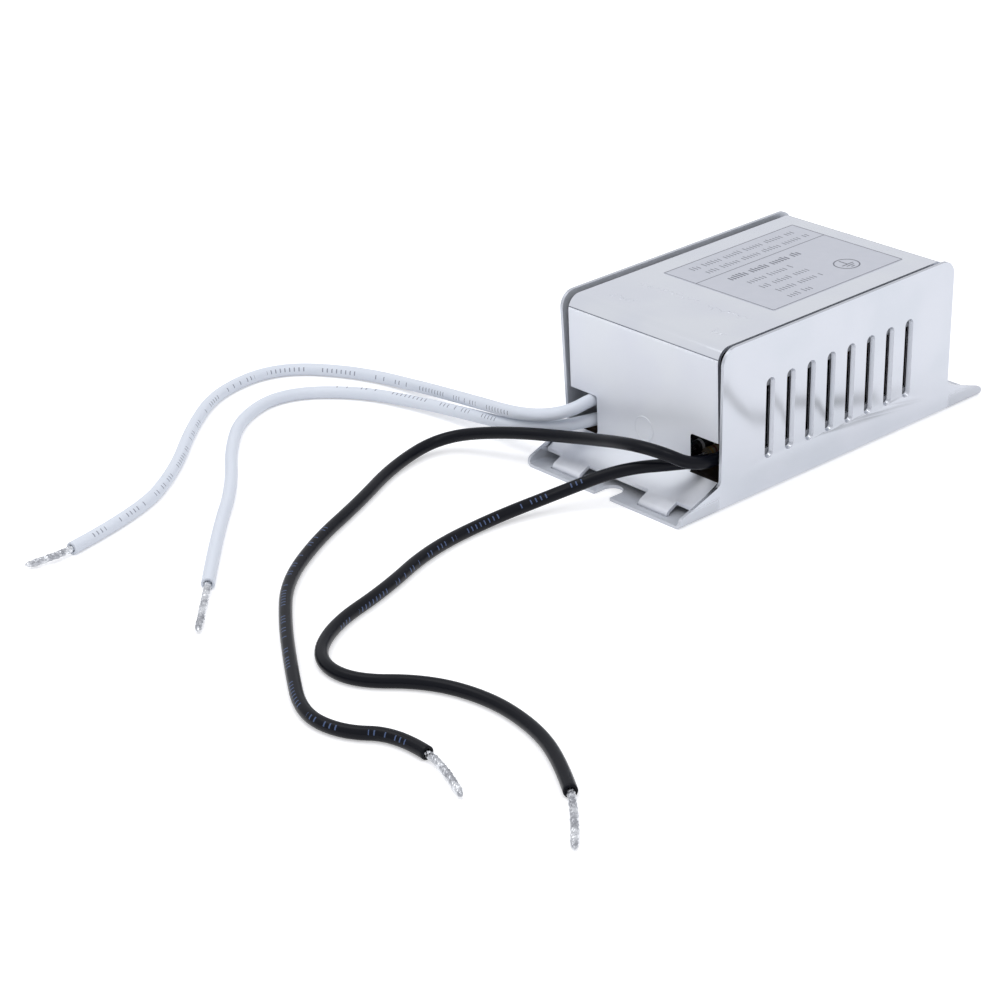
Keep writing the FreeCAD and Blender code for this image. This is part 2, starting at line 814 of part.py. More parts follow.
def outer_tip(route, diameter, rest):
    """The bare tinned strand beyond the insulation's outer end."""
    points = route_points(route, diameter)
    start = points[-1]
    bend = start + (points[-1] - points[-2]).normalize() * tip_run
    bend.z = start.z
    end = V(-cover_end - rest[0], rest[1], strand_diameter / 2 + 0.15)
    corners = [start, bend, end]
    return tube(corners, route_radii(corners), strand_diameter)


def solder_places():
    """Every place where a wire is soldered under the board."""
    places = list(leg_places())
    boxes = [(film_size, film_x, y) for y in film_y]
    boxes += [(filter_size, filter_x, filter_y), (start_size, start_x, start_y)]
    for size, x, y in boxes:
        places += [(x - size[3] / 2, y), (x + size[3] / 2, y)]
    for radius, length, spots in axial_parts():
        reach = length / 2 + axial_reach
        for x, y in spots:
            places += [(x - reach, y), (x + reach, y)]
    for route, diameter, run in leads:
        bend = inner_bend(route, diameter, run)
        places.append((bend.x, bend.y))
    flange_x = bobbin_length / 2 - bobbin_flange / 2
    for i in range(4):
        y = output_y + (i - 1.5) * bobbin_pin_pitch
        places += [(output_x - flange_x, y), (output_x + flange_x, y)]
    places += [(choke_x - choke_pin_reach, choke_y), (choke_x + choke_pin_reach, choke_y)]
    return places


def solder_joints():
    """Six-sided cones of solder that stand on the liner and carry the board."""
    joints = []
    for x, y in solder_places():
        loops = []
        ends = [(board_bottom - solder_height, solder_tip_radius), (board_bottom, solder_radius)]
        for z, radius in ends:
            points = []
            for i in range(6):
                angle = i * math.pi / 3
                points.append(V(x + radius * math.cos(angle), y + radius * math.sin(angle), z))
            loops.append(points)
        joints.append(frustum(*loops))
    return Part.makeCompound(joints)


leads = [
    (white_route_1, white_diameter, inner_runs[0]),
    (white_route_2, white_diameter, inner_runs[1]),
    (black_route_1, black_diameter, inner_runs[2]),
    (black_route_2, black_diameter, inner_runs[3]),
]

nodes = {
    "base_channel": base_channel(),
    "cover": cover(),
    "insulating_liner": insulating_liner(),
    "circuit_board": circuit_board(),
    "solder_joints": solder_joints(),
    "ferrite_core": ferrite_core(),
    "bobbin": bobbin(),
    "primary_winding": winding(winding_gap),
    "secondary_winding": winding(2 * winding_gap + winding_build),
    "ring_core": ring_core(),
    "ring_windings": ring_windings(),
    "heat_sink": heat_sink(),
    "thermal_pads": thermal_pads(),
    "transistor_cases": transistor_cases(),
    "transistor_tabs": transistor_tabs(),
    "transistor_legs": transistor_legs(),
    "sink_screws": sink_screws(),
    "film_capacitors": Part.makeCompound([box_capacitor(film_size, film_x, y) for y in film_y]),
    "filter_capacitor": box_capacitor(filter_size, filter_x, filter_y),
    "start_capacitor": box_capacitor(start_size, start_x, start_y),
    "choke_core": choke_core(),
    "choke_winding": choke_winding(),
    "rectifier_diodes": axial_bodies(diode_radius, diode_length, diode_places),
    "resistors": axial_bodies(resistor_radius, resistor_length, resistor_places),
    "diac": axial_bodies(diac_radius, diac_length, diac_places),
    "fuse": fuse_body(),
    "component_wires": component_wires(),
    "inner_wire_ends": Part.makeCompound([inner_end(*values) for values in leads]),
    "lead_white_1": lead("lead_white_1", white_route_1, white_diameter),
    "lead_white_2": lead("lead_white_2", white_route_2, white_diameter),
    "lead_black_1": lead("lead_black_1", black_route_1, black_diameter),
    "lead_black_2": lead("lead_black_2", black_route_2, black_diameter),
    "tinned_end_white_1": outer_tip(white_route_1, white_diameter, white_tip_1),
    "tinned_end_white_2": outer_tip(white_route_2, white_diameter, white_tip_2),
    "tinned_end_black_1": outer_tip(black_route_1, black_diameter, black_tip_1),
    "tinned_end_black_2": outer_tip(black_route_2, black_diameter, black_tip_2),
}

os.makedirs("parts", exist_ok=True)
for name, shape in nodes.items():
    if not shape.isValid() or shape.Volume <= 0:
        raise ValueError("bad shape: " + name)
    shape.exportStep("parts/" + name + ".step")
    size = shape.BoundBox
    print(name, len(shape.Solids), "solid(s)", round(shape.Volume, 1), "mm3",
          round(size.XLength, 1), round(size.YLength, 1), round(size.ZLength, 1))
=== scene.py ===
import math

import bmesh
import bpy
import numpy as np
from mathutils import Matrix, Vector


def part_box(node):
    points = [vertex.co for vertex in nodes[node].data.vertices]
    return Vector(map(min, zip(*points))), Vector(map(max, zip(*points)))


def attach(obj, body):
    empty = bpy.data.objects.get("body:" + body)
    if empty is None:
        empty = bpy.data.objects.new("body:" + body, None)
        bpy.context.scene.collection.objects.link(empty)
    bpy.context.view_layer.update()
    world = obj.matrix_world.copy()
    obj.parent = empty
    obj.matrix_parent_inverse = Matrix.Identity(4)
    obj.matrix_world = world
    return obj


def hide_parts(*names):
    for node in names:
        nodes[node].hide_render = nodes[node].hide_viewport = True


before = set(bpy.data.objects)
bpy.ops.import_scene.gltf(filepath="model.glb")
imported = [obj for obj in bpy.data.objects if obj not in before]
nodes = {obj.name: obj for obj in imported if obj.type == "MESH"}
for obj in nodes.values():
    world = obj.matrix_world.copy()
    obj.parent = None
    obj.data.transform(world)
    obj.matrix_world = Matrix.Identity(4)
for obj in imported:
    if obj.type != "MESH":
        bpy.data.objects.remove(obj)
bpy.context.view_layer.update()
mm = 0.001


# Fitted to the straight edges of the case in the photograph: angles in degrees, the rest in millimetres
shot = {
    "azimuth": -40.63, "elevation": 25.43, "roll": -2.59,
    "distance": 569.95, "right": -52.59, "up": -14.3,
    "lens": 100.99, "sensor": 36.0,
}


def placeCamera():
    azimuth, elevation, roll = (math.radians(shot[k]) for k in ("azimuth", "elevation", "roll"))
    level = math.cos(elevation)
    back = Vector((math.sin(azimuth) * level, -math.cos(azimuth) * level, math.sin(elevation)))
    right = Vector((0, 0, 1)).cross(back).normalized()
    up = back.cross(right)
    turnedRight = right * math.cos(roll) + up * math.sin(roll)
    turnedUp = up * math.cos(roll) - right * math.sin(roll)
    place = (back * shot["distance"] + turnedRight * shot["right"] + turnedUp * shot["up"]) * mm
    data = bpy.data.cameras.new("camera")
    data.lens = shot["lens"]
    data.sensor_width = shot["sensor"]
    data.clip_start = 0.01
    camera = bpy.data.objects.new("camera", data)
    turn = Matrix((turnedRight, turnedUp, back)).transposed().to_4x4()
    camera.matrix_world = Matrix.Translation(place) @ turn
    bpy.context.collection.objects.link(camera)
    bpy.context.scene.camera = camera


placeCamera()
print("camera placed")


def toLinear(hexColour):
    # sRGB hex to linear light: the low end is a straight line, the rest a power of 2.4
    values = [int(hexColour[i:i + 2], 16) / 255 for i in (1, 3, 5)]
    return tuple(v / 12.92 if v <= 0.04045 else ((v + 0.055) / 1.055) ** 2.4 for v in values) + (1.0,)


def addNode(tree, kind, inputs=(), stops=(), **settings):
    # adds one shader node with its settings and links. Inputs come in the node's own order, or by
    # name: a number, a colour, an output, or a node, which stands for its first output. Stops are
    # the places and colours of a colour ramp
    node = tree.nodes.new("ShaderNode" + kind)
    for name, value in settings.items():
        setattr(node, name, value)
    for name, value in inputs.items() if isinstance(inputs, dict) else enumerate(inputs):
        source = value.outputs[0] if isinstance(value, bpy.types.Node) else value
        if isinstance(source, bpy.types.NodeSocket):
            tree.links.new(source, node.inputs[name])
        else:
            node.inputs[name].default_value = source
    if stops:
        elements = node.color_ramp.elements
        while len(elements) < len(stops):
            elements.new(0.5)
        for element, (place, colour) in zip(elements, stops):
            element.position = place
            element.color = toLinear(colour)
    return node


def newMaterial(name):
    # an empty material, its node tree and the object coordinates in metres
    material = bpy.data.materials.new(name)
    material.use_nodes = True
    tree = material.node_tree
    tree.nodes.clear()
    return material, tree, addNode(tree, "TexCoord").outputs["Object"]


def dress(piece, material):
    if not piece.material_slots:
        piece.data.materials.append(None)
    for slot in piece.material_slots:
        slot.material = material


def gridMesh(name, points, uv=None, closedAround=True):
    # a grid of points, rows by columns, as quads: columns close on themselves round a tube
    rows, columns = points.shape[:2]
    ids = np.arange(rows * columns).reshape(rows, columns)
    span = columns if closedAround else columns - 1
    a = ids[:-1, :span]
    b = np.roll(ids, -1, axis=1)[:-1, :span]
    c = np.roll(ids, -1, axis=1)[1:, :span]
    d = ids[1:, :span]
    faces = np.stack([a, b, c, d], axis=-1).reshape(-1, 4)
    mesh = bpy.data.meshes.new(name)
    mesh.from_pydata(points.reshape(-1, 3).tolist(), [], faces.tolist())
    if uv is not None:
        layer = mesh.uv_layers.new(name="UVMap")
        corners = np.stack([uv[:-1, :span], uv[:-1, 1:span + 1], uv[1:, 1:span + 1], uv[1:, :span]], axis=2)
        layer.data.foreach_set("uv", corners.reshape(-1).astype(np.float32))
    mesh.polygons.foreach_set("use_smooth", np.ones(len(mesh.polygons), dtype=bool))
    mesh.update()
    return mesh


def addPiece(name, mesh):
    piece = bpy.data.objects.new(name, mesh)
    bpy.context.collection.objects.link(piece)
    return piece


def splinePoints(name, route, steps=24):
    # the smooth line of a route: a NURBS spline of order 3 with the route's points as its
    # control points, read back as evenly numbered points
    curve = bpy.data.curves.new(name, "CURVE")
    curve.dimensions = "3D"
    curve.resolution_u = steps
    spline = curve.splines.new("NURBS")
    spline.points.add(len(route) - 1)
    spline.points.foreach_set("co", np.hstack([route, np.ones((len(route), 1))]).ravel())
    spline.order_u = 3
    spline.use_endpoint_u = True
    holder = bpy.data.objects.new(name, curve)
    bpy.context.collection.objects.link(holder)
    bpy.context.view_layer.update()
    line = bpy.data.meshes.new_from_object(holder.evaluated_get(bpy.context.evaluated_depsgraph_get()))
    points = np.empty(len(line.vertices) * 3)
    line.vertices.foreach_get("co", points)
    bpy.data.objects.remove(holder)
    bpy.data.curves.remove(curve)
    bpy.data.meshes.remove(line)
    return points.reshape(-1, 3)


def evenPoints(points, step):
    # the same line in equal steps of about this length, with each point's distance along it
    lengths = np.concatenate([[0], np.cumsum(np.linalg.norm(np.diff(points, axis=0), axis=1))])
    count = max(8, int(lengths[-1] / step))
    along = np.linspace(0, lengths[-1], count + 1)
    return np.stack([np.interp(along, lengths, points[:, i]) for i in range(3)], axis=1), along


def lineFrames(points):
    # tangent, side and top direction at each point of a line; the side stays level
    tangent = np.gradient(points, axis=0)
    tangent /= np.linalg.norm(tangent, axis=1, keepdims=True)
    side = np.cross(np.array([0, 0, 1.0]), tangent)
    side /= np.linalg.norm(side, axis=1, keepdims=True)
    top = np.cross(tangent, side)
    return tangent, side, top


def ringDirections(points, around):
    # unit directions round each point of a line: cosine times side + sine times top
    tangent, side, top = lineFrames(points)
    angle = np.linspace(0, 2 * math.pi, around, endpoint=False)
    return np.cos(angle)[None, :, None] * side[:, None] + np.sin(angle)[None, :, None] * top[:, None]


# Route points in millimetres, as in the part's source: inside the case first, then outward.
# The upper white lead leaves a little higher and steeper here, as it does in the photograph.
# marks: the turn round the lead where its row of printed strokes starts and ends; printed: the
# stretch along the lead, in millimetres, that has them
leads = {
    "lead_white_1": {
        "diameter": 2.6, "length": 191, "tip": (-140.0, 55.9, 0.9),
        "colour": "white", "marks": (0.0, 0.13), "printed": (24, 186),
        "route": [(-25.5, 14.3, 11.4), (-31.0, 14.7, 13.0), (-38.2, 15.4, 11.4),
                  (-41.4, 24.5, 9.0), (-38.2, 44.5, 5.4),
                  (-35.0, 63.5, 1.7), (-38.5, 81.5, 1.3), (-49.0, 96.5, 1.3), (-66.0, 95.3, 1.3),
                  (-80.5, 84.5, 1.3), (-96.0, 69.0, 1.3), (-112.0, 58.4, 1.3), (-130.3, 54.7, 1.3)],
    },
    "lead_white_2": {
        "diameter": 2.6, "length": 175, "tip": (-132.9, 10.8, 0.9),
        "colour": "white", "marks": (0.02, 0.6), "printed": (30, 75),
        "route": [(-25.2, 14.2, 7.7), (-38.6, 15.2, 8.4), (-40.8, 27.9, 5.5), (-39.6, 42.0, 3.2),
                  (-40.6, 57.0, 1.8), (-45.4, 73.4, 1.3), (-57.2, 84.4, 1.3), (-71.0, 80.4, 1.3),
                  (-82.0, 69.2, 1.3), (-93.0, 54.0, 1.3), (-107.0, 39.9, 1.3), (-121.1, 23.8, 1.3)],
    },
    "lead_black_1": {
        "diameter": 2.5, "length": 217, "tip": (-136.6, -64.9, 0.9),
        "colour": "black", "marks": (0.02, 0.42), "printed": (118, 214),
        "route": [(-23.4, -17.6, 10.5), (-34.6, -20.0, 8.5), (-43.2, -11.6, 14.4), (-39.6, 11.3, 7.8),
                  (-45.5, 28.0, 6.0), (-50.5, 40.8, 2.4), (-64.5, 38.8, 1.25), (-80.0, 30.6, 1.25),
                  (-96.0, 23.5, 1.25), (-110.5, 14.0, 1.25), (-120.5, 1.5, 1.25), (-130.0, -12.5, 1.25),
                  (-138.5, -26.0, 1.25), (-137.8, -36.0, 1.25), (-131.5, -43.0, 1.25), (-132.1, -51.4, 1.25)],
    },
    "lead_black_2": {
        "diameter": 2.5, "length": 180, "tip": (-134.6, -89.0, 0.9),
        "colour": "black", "marks": (0.2, -0.15), "printed": (30, 100),
        "route": [(-25.5, -16.8, 7.6), (-36.3, -14.5, 9.2), (-43.5, -5.0, 7.6), (-53.0, 2.5, 3.3),
                  (-67.5, 6.5, 1.25), (-84.0, 5.0, 1.25), (-100.0, -1.5, 1.25), (-115.0, -5.3, 1.25),
                  (-125.0, -13.0, 1.25), (-125.8, -23.5, 1.25), (-116.5, -33.0, 1.25), (-113.0, -45.0, 1.25),
                  (-114.2, -57.5, 1.25), (-118.3, -68.0, 1.25), (-123.9, -76.7, 1.25)],
    },
}
leadShape = {
    "endFace": -32.6,      # where a lead leaves the case
    "around": 28,          # points round the insulation
    "step": 0.8,           # distance between its rings
    "edge": 0.15,          # rounding of the cut end
    "bore": 0.8,           # radius of the hole that the strands come out of
    "boreDepth": 1.2,
    "closed": 0.02,        # radius at which a tube's end counts as closed
    "tipRun": 4.5,         # straight start of the bare end
}
strandShape = {
    "radius": 0.7, "around": 40, "step": 0.12,
    "strands": 7,          # bundles of fine wire that show as ridges
    "ridge": 0.09,         # depth of the grooves between them
    "pitch": 8.5,          # length of one full twist
    "lump": 0.10,          # unevenness of the solder
    "taper": 2.2,
}


def makeLead(name, values):
    radius = values["diameter"] / 2
    smooth = splinePoints(name + "_line", np.array(values["route"]) * mm)
    line, along = evenPoints(smooth, leadShape["step"] * mm)
    heading = lineFrames(line)[0][-1]
    # after the straight wall come the rounded edge, the cut face and the hole for the strands,
    # each as (distance past the cut end, radius)
    edge, bore, deep = leadShape["edge"], leadShape["bore"], leadShape["boreDepth"]
    closed = leadShape["closed"]
    ends = [(-edge, radius), (-edge * 0.3, radius - edge * 0.3), (0, radius - edge),
            (0, bore), (-deep, bore), (-deep, closed)]
    offsets, endRadii = np.array(ends).T
    last = len(line) - 1
    pick = np.concatenate([[0, 0], np.arange(1, last), np.full(len(ends), last)])
    centres = line[pick]
    centres[-len(ends):] += offsets[:, None] * mm * heading
    radii = np.concatenate([[closed, radius], np.full(last - 1, radius), endRadii]) * mm
    around = leadShape["around"]
    points = centres[:, None] + radii[:, None, None] * ringDirections(line, around)[pick]
    turn = np.linspace(0, 1, around + 1)
    uv = np.stack(np.broadcast_arrays((along[pick] / mm)[:, None], turn[None, :]), axis=-1)
    piece = addPiece(name + "_insulation", gridMesh(name, points, uv))
    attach(piece, "root")
    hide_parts(name)
    return piece, line


def makeStrand(name, values, line):
    # the bare end: a tube whose radius falls between the twisted bundles and swells with solder
    shape = strandShape
    heading = lineFrames(line)[0][-1]
    start = line[-1] - heading * leadShape["boreDepth"] * mm
    bend = line[-1] + heading * leadShape["tipRun"] * mm
    route = np.array([start, bend, np.array(values["tip"]) * mm])
    path, along = evenPoints(splinePoints(name + "_strand_line", route), shape["step"] * mm)
    angle = np.linspace(0, 2 * math.pi, shape["around"], endpoint=False)[None, :]
    s = (along / mm)[:, None]
    phase = 2 * math.pi * s / shape["pitch"]
    ridges = -shape["ridge"] * (1 - np.abs(np.cos(shape["strands"] * (angle - phase) / 2)))
    seed = sum(ord(letter) for letter in name)
    lumps = np.sin(s * 1.9 + seed) * np.cos(angle + s * 0.7)
    lumps = lumps + np.sin(s * 4.3 + angle * 2 + seed) * 0.6
    lumps = lumps + np.sin(s * 8.1 - angle * 3) * 0.35
    # the tip closes as a rounded end: square root of 1 - (1 - share of the taper left) squared
    left = np.clip((s[-1] - s) / shape["taper"], 0, 1)
    closing = np.sqrt(np.clip(1 - (1 - left) ** 2, 0.0004, 1))
    radius = (shape["radius"] + ridges + shape["lump"] * lumps * 0.5) * closing
    points = path[:, None] + (radius * mm)[:, :, None] * ringDirections(path, shape["around"])
    turn = np.linspace(0, 1, shape["around"] + 1)
    uv = np.stack(np.broadcast_arrays(s, turn[None, :]), axis=-1)
    tip = addPiece(name.replace("lead", "strand"), gridMesh(name + "_strand", points, uv))
    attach(tip, "root")
    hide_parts(name.replace("lead", "tinned_end"))
    return tip


leadPieces = {}
for name, values in leads.items():
    piece, line = makeLead(name, values)
    tip = makeStrand(name, values, line)
    leaves = line[np.abs(line[:, 0] / mm - leadShape["endFace"]).argmin()]
    leadPieces[name] = (piece, tip)
print("leads made")


# the sheared edges are slightly broken: width in millimetres, angle in degrees
caseEdges = {"width": 0.06, "segments": 2, "angle": 32, "flat": 0.4, "weld": 0.0005}


def softenEdges(name):
    # a copy of the sheet with its triangles merged to whole faces and a small bevel on each sheared edge
    mesh = nodes[name].data.copy()
    mesh.name = name + "_sheet"
    work = bmesh.new()
    work.from_mesh(mesh)
    bmesh.ops.remove_doubles(work, verts=work.verts, dist=caseEdges["weld"] * mm)
    flat = math.radians(caseEdges["flat"])
    bmesh.ops.dissolve_limit(work, angle_limit=flat, verts=work.verts, edges=work.edges)
    work.to_mesh(mesh)
    work.free()
    mesh.polygons.foreach_set("use_smooth", np.ones(len(mesh.polygons), dtype=bool))
    mesh.set_sharp_from_angle(angle=math.radians(caseEdges["angle"]))
    piece = addPiece(name + "_sheet", mesh)
    bevel = piece.modifiers.new("edges", "BEVEL")
    bevel.width = caseEdges["width"] * mm
    bevel.segments = caseEdges["segments"]
    bevel.limit_method = "ANGLE"
    bevel.angle_limit = math.radians(caseEdges["angle"])
    bevel.harden_normals = True
    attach(piece, "root")
    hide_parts(name)
    return piece


casePieces = {"base_channel": softenEdges("base_channel"), "cover": softenEdges("cover")}
print("case edges softened")


label = {
    "z": 33.1, "film": 0.05, "corner": 0.6,
    "x": (-11.2, 26.6), "y": (-14.6, 15.7),
    "line": 0.2, "divider": 6.6,
    # rows of plain strokes: y, first x, last x, stroke height, stroke width
    "rows": [(12.6, -6.0, 23.0, 1.7, 0.24), (9.3, -5.0, 24.5, 1.7, 0.24), (3.4, -5.5, 15.0, 2.0, 0.42),
             (-0.6, -3.5, 8.5, 1.7, 0.24), (-4.2, -3.5, 9.5, 1.7, 0.24), (-7.8, -3.5, 9.5, 1.7, 0.24),
             (-11.4, -3.5, 3.0, 1.7, 0.24)],
    "pitch": 0.85, "seed": 7,
    "earth": (17.0, -8.0), "earthRadius": 2.6, "earthLine": 0.3,
    "earthChords": 40, "earthOverlap": 1.06,
    "inset": 0.25, "rim": 0.04, "inkHeight": 0.01,
}
stamped = {
    "z": 33.1, "clear": 0.003, "height": 0.09, "width": 0.55, "seed": 3,
    # groups of short raised strokes: first point, last point, strokes
    "groups": [((-26.0, 14.8), (-25.6, 8.8), 9), ((-18.2, 14.6), (-17.2, 0.2), 15),
               ((-17.8, -4.2), (-16.9, -14.2), 12), ((-26.2, -12.8), (-25.8, -15.6), 5)],
    "ring": {"x": -32.6, "y": -0.2, "z": 10.9, "radius": 2.5, "width": 0.42, "height": 0.09},
}


def strokeQuads(strokes, z):
    # flat oblongs: centre + half length along the stroke's angle, half width across it.
    # strokes holds x, y, length, width, angle, one row for each
    x, y, length, width, angle = strokes.T
    along = np.stack([np.cos(angle), np.sin(angle)], axis=1) * (length / 2)[:, None]
    across = np.stack([-np.sin(angle), np.cos(angle)], axis=1) * (width / 2)[:, None]
    centre = np.stack([x, y], axis=1)
    near, far = centre - across, centre + across
    corners = np.stack([near - along, near + along, far + along, far - along], axis=1)
    points = np.concatenate([corners, np.full(corners.shape[:2] + (1,), z)], axis=2).reshape(-1, 3) * mm
    return points, np.arange(len(points)).reshape(-1, 4)


def plainRows():
    # rows of plain upright strokes like a tally, in groups with gaps: nothing in them reads as a letter
    rng = np.random.default_rng(label["seed"])
    rows = []
    for y, first, last, height, width in label["rows"]:
        x = np.arange(first, last, label["pitch"])
        kept = (np.arange(len(x)) + rng.integers(0, 5)) % 7 != 0
        tall = height * np.where(rng.uniform(size=len(x)) > 0.75, 1.0, 0.78)
        upright = np.stack([x, np.full(len(x), y) - (height - tall) / 2, tall, np.full(len(x), width),
                            np.full(len(x), math.pi / 2)], axis=1)
        rows.append(upright[kept])
    return np.concatenate(rows)


def frameStrokes():
    # the outline, the divider and the strokes of the earth sign inside its ring, each as
    # centre x, centre y, length, width and angle
    (x0, x1), (y0, y1) = label["x"], label["y"]
    ex, ey = label["earth"]
    r = label["earthRadius"]
    thin, bold = label["line"], label["earthLine"]
    inset = label["inset"]
    centreX, centreY = (x0 + x1) / 2, (y0 + y1) / 2
    wide, high = x1 - x0 - 2 * inset, y1 - y0 - 2 * inset
    upright = math.pi / 2
    lines = [
        (centreX, y0 + inset, wide, thin, 0),
        (centreX, y1 - inset, wide, thin, 0),
        (x0 + inset, centreY, high, thin, upright),
        (x1 - inset, centreY, high, thin, upright),
        (centreX, label["divider"], wide, thin, 0),
        (ex, ey + r * 0.35, r * 0.9, bold, upright),
        (ex, ey - r * 0.1, r * 1.25, bold, 0),
        (ex, ey - r * 0.38, r * 0.8, bold, 0),
        (ex, ey - r * 0.66, r * 0.35, bold, 0),
    ]
    # the ring is straight chords that overlap a little
    count = label["earthChords"]
    angle = np.linspace(0, 2 * math.pi, count, endpoint=False)
    chord = 2 * math.pi * r / count * label["earthOverlap"]
    ring = np.stack([ex + r * np.cos(angle), ey + r * np.sin(angle), np.full(count, chord),
                     np.full(count, bold), angle + upright], axis=1)
    return np.concatenate([np.array(lines), ring])


def makeLabel():
    # a thin film with round corners: a loop of points at the foot, one at the rim, one just inside it
    (x0, x1), (y0, y1) = label["x"], label["y"]
    r = label["corner"]
    turn = np.linspace(0, math.pi / 2, 7)
    centres = [(x1 - r, y1 - r), (x0 + r, y1 - r), (x0 + r, y0 + r), (x1 - r, y0 + r)]
    arcs = []
    for quarter, (x, y) in enumerate(centres):
        angle = turn + quarter * math.pi / 2
        arcs.append(np.stack([x + r * np.cos(angle), y + r * np.sin(angle)], axis=1))
    loop = np.concatenate(arcs)
    middle = np.array([(x0 + x1) / 2, (y0 + y1) / 2])
    inner = loop - np.sign(loop - middle) * label["rim"]
    levels = [(loop, 0.0), (loop, label["film"] * 0.7), (inner, label["film"])]
    rings = [np.concatenate([flat, np.full((len(flat), 1), label["z"] + z)], axis=1) for flat, z in levels]
    points = np.stack(rings) * mm
    mesh = gridMesh("label_film", points)
    count = len(loop)
    faces = [list(polygon.vertices) for polygon in mesh.polygons] + [list(range(2 * count, 3 * count))]
    film = bpy.data.meshes.new("label_film")
    film.from_pydata(points.reshape(-1, 3).tolist(), [], faces)
    film.polygons.foreach_set("use_smooth", np.zeros(len(film.polygons), dtype=bool))
    piece = addPiece("label_film", film)
    strokes = np.concatenate([frameStrokes(), plainRows()])
    ink, quads = strokeQuads(strokes, label["z"] + label["film"] + label["inkHeight"])
    printed = bpy.data.meshes.new("label_print")
    printed.from_pydata(ink.tolist(), [], quads.tolist())
    marks = addPiece("label_print", printed)
    for made in (piece, marks):
        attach(made, "root")
    return piece, marks


def makeStampedMarks():
    # each mark is a small ridge: four points round its foot and two along its top
    rng = np.random.default_rng(stamped["seed"])
    rows = []
    for (xa, ya), (xb, yb), count in stamped["groups"]:
        step = np.linspace(0, 1, count)
        x = xa + (xb - xa) * step + rng.uniform(-0.7, 0.7, count)
        y = ya + (yb - ya) * step + rng.uniform(-0.25, 0.25, count)
        length = rng.uniform(0.7, 1.5, count)
        angle = rng.uniform(0, math.pi, count)
        rows.append(np.stack([x, y, length, np.full(count, stamped["width"]), angle], axis=1))
    strokes = np.concatenate(rows)
    foot, quads = strokeQuads(strokes, stamped["z"] + stamped["clear"])
    foot = foot.reshape(-1, 4, 3)
    middle = foot.mean(axis=1, keepdims=True)
    ends = np.stack([(foot[:, 0] + foot[:, 3]) / 2, (foot[:, 1] + foot[:, 2]) / 2], axis=1)
    top = middle + (ends - middle) * 0.6
    top[:, :, 2] += stamped["height"] * mm
    points = np.concatenate([foot, top], axis=1).reshape(-1, 3)
    base = np.arange(len(strokes))[:, None] * 6
    sides = np.concatenate([base + [0, 1, 5, 4], base + [2, 3, 4, 5]])
    caps = np.concatenate([base + [3, 0, 4], base + [1, 2, 5]])
    mesh = bpy.data.meshes.new("stamped_marks")
    mesh.from_pydata(points.tolist(), [], sides.tolist() + caps.tolist())
    marks = addPiece("stamped_marks", mesh)
    # the ring on the end: a low half-round ridge carried round a circle
    ring = stamped["ring"]
    angle = np.linspace(0, 2 * math.pi, 49)[:, None]
    across = np.linspace(-1, 1, 9)[None, :]
    radius = ring["radius"] + across * ring["width"] / 2
    out = ring["height"] * np.sqrt(np.clip(1 - across ** 2, 0, 1)) + 0.002
    height = ring["z"] + radius * np.sin(angle)
    points = np.stack([ring["x"] - out + 0 * angle, ring["y"] - radius * np.cos(angle), height], axis=2) * mm
    band = addPiece("stamped_ring", gridMesh("stamped_ring", points, closedAround=False))
    for made in (marks, band):
        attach(made, "root")
    return marks, band


labelFilm, labelPrint = makeLabel()
stampedMarks, stampedRing = makeStampedMarks()
print("label and stamped marks made")


# patterns of the plated sheets. Places and widths are in millimetres, pattern scales per metre
wear = {
    "clouds": 65.0, "cloudy": (0.35, 0.65), "cloudGloss": 0.05,   # cloudy patches left by handling
    "wall": (5.0, 6.0),                                           # height at which the panels start
    "ventEnds": 23.0, "sheared": (-0.04, 0.02), "burnished": (0.3, 0.07), "burnishedShare": 0.75,
    "foldWidth": (0.8, 0.6), "upright": (0.15, 0.6), "innerWidth": 0.15,
    "foot": (33.0, 34.0), "footTop": (2.0, 4.0),
    "clinched": (37.0, 40.0), "clinchedY": (12.0, 5.5), "creases": 420.0, "creaseStrength": 0.45,
    "waveHeight": 0.0004, "lineHeight": 0.00001,                  # heights in metres
}
sheets = {
    # lines: how fast the rolling pattern changes along X, Y and Z, per metre. Places are in millimetres
    # torn: a near-black tone, painted shade in the vent slots over their real sheared walls
    "cover": {"colour": "#E2E5EC", "tint": "#E6E9EE", "tornAndShaded": "#1A1B20",
              "roughness": 0.22, "endRoughness": 0.5, "foldRoughness": 0.09, "fold": (29.6, 31.0),
              "bloom": 0.48, "dullBloom": 0.5, "inner": 50.0,
              "lines": (30, 1800, 30), "lineStrength": 0.05, "waves": 42.0, "waveStrength": 0.12,
              "lean": 0.0, "halfWidth": 0.0, "ventDepth": 50.0},
    "base": {"colour": "#C6CAD1", "tint": "#CBCED5", "tornAndShaded": "#1A1B20",
             "roughness": 0.13, "endRoughness": 0.4, "foldRoughness": 0.13, "fold": (90.0, 90.0),
             "bloom": 0.12, "dullBloom": 0.6, "inner": 0.66,
             "lines": (30, 1800, 1800), "lineStrength": 0.04, "waves": 30.0, "waveStrength": 0.12,
             "lean": 0.0367, "halfWidth": 21.3, "ventDepth": 0.8},
}


